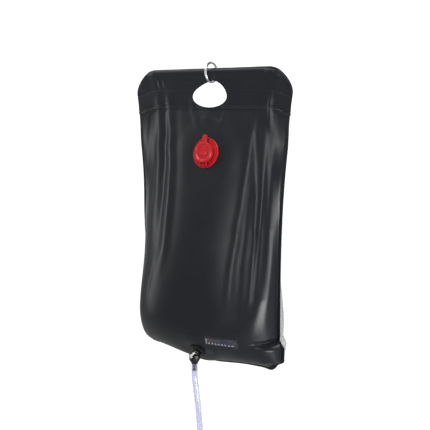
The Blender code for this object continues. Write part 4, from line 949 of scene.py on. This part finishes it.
def trim(piece, angle_deg, way, lean_deg=0.0):
    """Cut off what lies just beyond an angle of the ring, in a way of +1 or -1 along the wire."""
    stub = block("stub", (-4, -4, min(0, way * 5)), (4, 4, max(0, way * 5)))
    lean = Matrix.Rotation(math.radians(lean_deg), 4, "X")
    combine(piece, move_to(stub, ring_axes(angle_deg) @ lean), "DIFFERENCE")


ring = ring_wire("ring_wire_body", NOSE_DEG, 360 + EAR_DEG)
trim(ring, NOSE_DEG, -1, MEET_LEAN_DEG)
trim(ring, EAR_DEG, 1)
gate = ring_wire("ring_wire_gate", TAIL_DEG, GATE_TIP_DEG)
trim(gate, GATE_TIP_DEG, 1, MEET_LEAN_DEG)
trim(gate, TAIL_DEG, -1)
pivot = ring_axes(GATE_PIVOT_DEG)
# The ear's slot is 2.7 mm wide, and the cheeks cut off the gate leave it a tongue of 2.1 mm.
slot = block("ear_slot", (-1.35, -4, -3.3), (1.35, 4, 6))
combine(ring, move_to(slot, pivot), "DIFFERENCE")
for side in (-1, 1):
    cheek = block("cheek", (-1.5, -4, -3.3), (1.5, 4, 3.3))
    move_to(cheek, pivot @ Matrix.Translation((side * 2.55 * MM, 0, 0)))
    combine(gate, cheek, "DIFFERENCE")
for piece in (ring, gate):
    hole = move_to(pin("pin_hole", (-5, 0, 0), (5, 0, 0), 1.1), pivot)
    combine(piece, hole, "DIFFERENCE")
finish_piece(ring, 0.2, still, chrome, "ring", "ring_body")
finish_piece(gate, 0.2, still, chrome, "gate", "ring_gate")

# %% [markdown]
# The shower head is a hollow bell with a flat rose snapped into its skirt. The rose's holes
# stand in three rings.

# %% Shower head and rose
head = axes((0.02038, -0.07921, -1.06407), (0, 0, -1))
bell = turned("shower_bell", [
    (3.0, 0.0), (7.2, 0.0), (7.75, 0.6), (7.75, 11.4), (8.3, 13.2), (10.2, 15.8), (13.4, 18.9),
    (17.4, 22.6), (21.4, 27.2), (24.8, 32.2), (26.6, 36.0), (27.0, 38.0), (27.0, 45.2),
    (26.5, 46.0), (25.0, 46.0), (25.0, 41.4), (23.0, 41.4), (23.0, 38.0), (15.4, 25.0),
    (6.0, 15.4), (3.0, 14.0), (3.0, 0.0)])
finish_piece(bell, 0.2, head, black_pp, "bag", "shower_head_body")
rose = turned("shower_rose_plate", [
    (AXIS_DOT, 43.5), (24.6, 43.5), (24.6, 46.0), (22.0, 46.3), (AXIS_DOT, 46.6)])
drills = []
for ring_radius, holes in ((7.4, 6), (14.3, 10), (20.7, 14)):
    for hole in range(holes):
        angle = 2 * math.pi * hole / holes
        x, y = ring_radius * math.cos(angle), ring_radius * math.sin(angle)
        drills.append(pin("drill", (x, y, 42), (x, y, 48), 1.1, 20))
combine(rose, joined("drills", drills), "DIFFERENCE")
finish_piece(rose, 0, head, grey_abs, "bag", "shower_rose")

# %% [markdown]
# The temperature strip is a printed film in a clear pocket, welded on below the belly. It
# follows the finished sheet, whose place is found by looking at it from outside. The print is a
# pale frame, a row of cells that change colour, and a row of ticks. It carries no figures here.

# %% Temperature strip
STRIP_X, STRIP_RISE, STRIP_TILT_DEG = 0.0850, 0.0660, 0.5


def sheet_point(u, v, lift):
    """A point over the front sheet: u and v along the strip and lift off its face, in mm."""
    tilt = math.radians(STRIP_TILT_DEG)
    u, v = u * MM, v * MM
    x = STRIP_X + BAG_SHIFT + u * math.cos(tilt) - v * math.sin(tilt)
    z = BAG_BOTTOM + STRIP_RISE + u * math.sin(tilt) + v * math.cos(tilt)
    found, place, normal, face = front.ray_cast(Vector((x, -0.3, z)), Vector((0, 1, 0)))
    return place + STRIP_OUTWARD * lift * MM


def patch(name, left, right, low, high, lift, thickness, columns, rows, material):
    """A thin piece that follows the sheet between two places along and across the strip."""
    piece = new_grid(name, columns, rows, 1)
    for vertex in piece.data.vertices:
        u = left + (right - left) * (vertex.co.x + 0.5)
        v = low + (high - low) * (vertex.co.y + 0.5)
        vertex.co = sheet_point(u, v, lift)
    apply_modifier(piece, "SOLIDIFY", thickness=thickness * MM, offset=1.0)
    piece.data.materials.append(material)
    return piece


middle = front.ray_cast(Vector((STRIP_X + BAG_SHIFT, -0.3, BAG_BOTTOM + STRIP_RISE)),
                        Vector((0, 1, 0)))
STRIP_OUTWARD = middle[2] if middle[2].y < 0 else -middle[2]
SATIN, INK_GRAIN = (0.14, 0.26), (1.5, 0.01)
frame_print = new_material("strip_frame_ink", "#4b4952", SATIN, INK_GRAIN)
cell_cold = new_material("strip_cell_violet", "#544f58", SATIN, INK_GRAIN)
cell_warm = new_material("strip_cell_blue", "#343b57", SATIN, INK_GRAIN)
tick_ink = new_material("strip_tick_ink", "#d4d4dc", SATIN, INK_GRAIN)
window_film = new_material("strip_window_film", "#5c5c64", SATIN, INK_GRAIN, IOR=1.5, Alpha=0.14)

half_long, half_tall = 32.0, 6.5
CELLS = 8
pieces = [patch("strip_base", -half_long, half_long, -half_tall, half_tall, 0.5, 0.4,
                64, 14, frame_print)]
cell_wide = (2 * half_long - 7) / CELLS
for cell in range(CELLS):
    left = 4 - half_long + cell * cell_wide
    ink = cell_cold if cell < CELLS / 2 else cell_warm
    pieces.append(patch("cell", left + 0.2, left + cell_wide - 0.2, -2.0, half_tall - 1.0,
                        0.9, 0.06, 6, 6, ink))
    pieces.append(patch("tick", left + 1.6, left + cell_wide - 2.2, -5.4, -2.8,
                        0.9, 0.08, 4, 2, tick_ink))
pieces.append(patch("end_mark", -half_long + 1, -half_long + 2.6, -5.0, 4.8,
                    0.9, 0.08, 2, 8, tick_ink))
strip = joined("strip_print", pieces)
bpy.ops.object.shade_smooth_by_angle(angle=math.radians(30))
tie(strip, "bag", "temperature_strip")
pocket = patch("strip_pocket", -35.6, 35.6, -10.1, 10.1, 0.15, 0.25, 144, 42, window_film)
for vertex in pocket.data.vertices:
    over = (vertex.co - sheet_point(0, 0, 0)) / MM
    inside_long = half_long + 1.2 - abs(over.x)
    inside_tall = half_tall + 1.2 - abs(over.dot(Vector((0, 0, 1))))
    rise = 1.05 * smoothstep(min(inside_long, inside_tall) / 1.2)
    vertex.co += STRIP_OUTWARD * rise * MM
bpy.ops.object.shade_smooth()
tie(pocket, "bag", "strip_window")

# %% [markdown]
# The black sheet is calendered PVC: smooth, a little soft in its gloss, with a hint of grain.
# The back is the same film without pigment.

# %% Sheet materials
black_pvc = new_material("black_pvc_film", "#191b20", (0.28, 0.40), (0.9, 0.02), IOR=1.5,
                         Specular_IOR_Level=0.45)
clear_pvc = new_material("clear_pvc_film", "#c2c5ca", (0.08, 0.20), (1.2, 0.02), IOR=1.5,
                         Alpha=0.42)
for sheet, film, slot, node in ((header, black_pvc, "black_sheet", "header_sleeve"),
                                (front, black_pvc, "black_sheet", "front_panel"),
                                (back, clear_pvc, "clear_sheet", "back_panel")):
    tie(sheet, "bag", node, film)

# %% Finishes of the pieces that keep their CAD mesh
NODE_FINISH = {
    "ring_gate_pin": chrome, "lid_hinge_pin": chrome, "tap_screw": chrome, "hem_rod": rod_pvc,
    "lid_seal": rubber, "outlet_washer": rubber, "tap_seal_front": rubber,
    "tap_seal_rear": rubber, "head_seal": rubber, "outlet_nut": black_pp, "tap_plug": white_acetal,
}
for name, material in NODE_FINISH.items():
    nodes[name].data.materials.clear()
    nodes[name].data.materials.append(material)

# %% [markdown]
# A hanging product shot before white. The camera and clear pieces see floor and backdrop as
# white, mirrors see them dimmer, and neither of them lights the bag. Seven soft lamps do: at the
# left and right, in front, low at the right, high up, above the header and behind. A dim world
# fills the shadows.

# %% World, backdrop and floor
bpy.context.scene.view_settings.view_transform = "Standard"
WORLD_LIGHT = 0.14


def light_seen(owner, seen, unseen):
    """A strength for rays from the camera or through clear pieces, and one for all others."""
    rays = add_node(owner, "LightPath").outputs
    either = add_node(owner, "Math", {"operation": "MAXIMUM"},
                      {0: rays["Is Camera Ray"], 1: rays["Is Transmission Ray"]})
    level = add_node(owner, "MapRange", {"To Min": unseen, "To Max": seen},
                     {"Value": either.outputs["Value"]})
    return level.outputs["Result"]


world = bpy.data.worlds.new("studio")
bpy.context.scene.world = world
world.use_nodes = True
background = world.node_tree.nodes["Background"]
background.inputs["Color"].default_value = (1.0, 1.0, 1.0, 1.0)
world.node_tree.links.new(light_seen(world, 1.0, WORLD_LIGHT), background.inputs["Strength"])

FLOOR_Z = -1.1160
PANEL_SIZE = 10
BACKDROP_AWAY = 5.0          # behind the bag, as the camera looks
camera_turn = math.radians(CAMERA_TURN_DEG)
looking = Vector((-math.sin(camera_turn), math.cos(camera_turn), 0.0))
for name, colour, place, tilt_deg, mirrored in (
        ("floor", "#8c8c8c", looking * 1.5 + Vector((0, 0, FLOOR_Z)), 0, 0.15),
        ("backdrop", "#f4f4f4", looking * BACKDROP_AWAY, 90, 0.78)):
    bpy.ops.mesh.primitive_plane_add(size=PANEL_SIZE, location=place,
                                     rotation=(math.radians(tilt_deg), 0, camera_turn))
    panel = named(name)
    paint = new_material(name + "_paint", colour, 0.9)
    shader = paint.node_tree.nodes["Principled BSDF"]
    shader.inputs["Emission Color"].default_value = (1.0, 1.0, 1.0, 1.0)
    glossy = add_node(paint, "LightPath").outputs["Is Glossy Ray"]
    dimmer = add_node(paint, "MapRange", {"To Max": mirrored}, {"Value": glossy})
    both = add_node(paint, "Math", {"operation": "MAXIMUM"},
                    {0: dimmer.outputs["Result"], 1: light_seen(paint, 1.0, 0.0)})
    paint.node_tree.links.new(both.outputs["Value"], shader.inputs["Emission Strength"])
    panel.data.materials.append(paint)

# %% Soft lamps
def soft_lamp(name, place, target, width, height, watts):
    """A rectangular lamp that faces a target."""
    bpy.ops.object.light_add(type="AREA", location=place)
    lamp = named(name)
    lamp.data.shape = "RECTANGLE"
    lamp.data.size = width
    lamp.data.size_y = height
    lamp.data.energy = watts
    lamp.rotation_euler = (Vector(target) - Vector(place)).to_track_quat("-Z", "Y").to_euler()


BAG_MIDDLE = (0.0, 0.0, -0.35)
soft_lamp("left_lamp", (-1.63, -0.76, 0.1), BAG_MIDDLE, 0.40, 1.8, 7)
soft_lamp("front_lamp", (-0.05, -2.0, 0.10), BAG_MIDDLE, 0.35, 0.7, 6)
soft_lamp("low_right_lamp", (1.55, -0.35, -0.75), (0.16, -0.03, -0.47), 1.3, 0.40, 22)
soft_lamp("right_lamp", (1.7, -0.2, 0.3), BAG_MIDDLE, 0.4, 1.2, 5)
soft_lamp("high_lamp", (0.1, -1.5, 1.7), BAG_MIDDLE, 1.2, 0.8, 30)
soft_lamp("top_lamp", (-0.96, -0.38, 1.2), (0.0, 0.0, -0.05), 1.6, 0.5, 5)
soft_lamp("back_lamp", (0.2, 1.8, 0.6), BAG_MIDDLE, 1.4, 1.4, 10)

# %% The last line
bpy.context.view_layer.update()
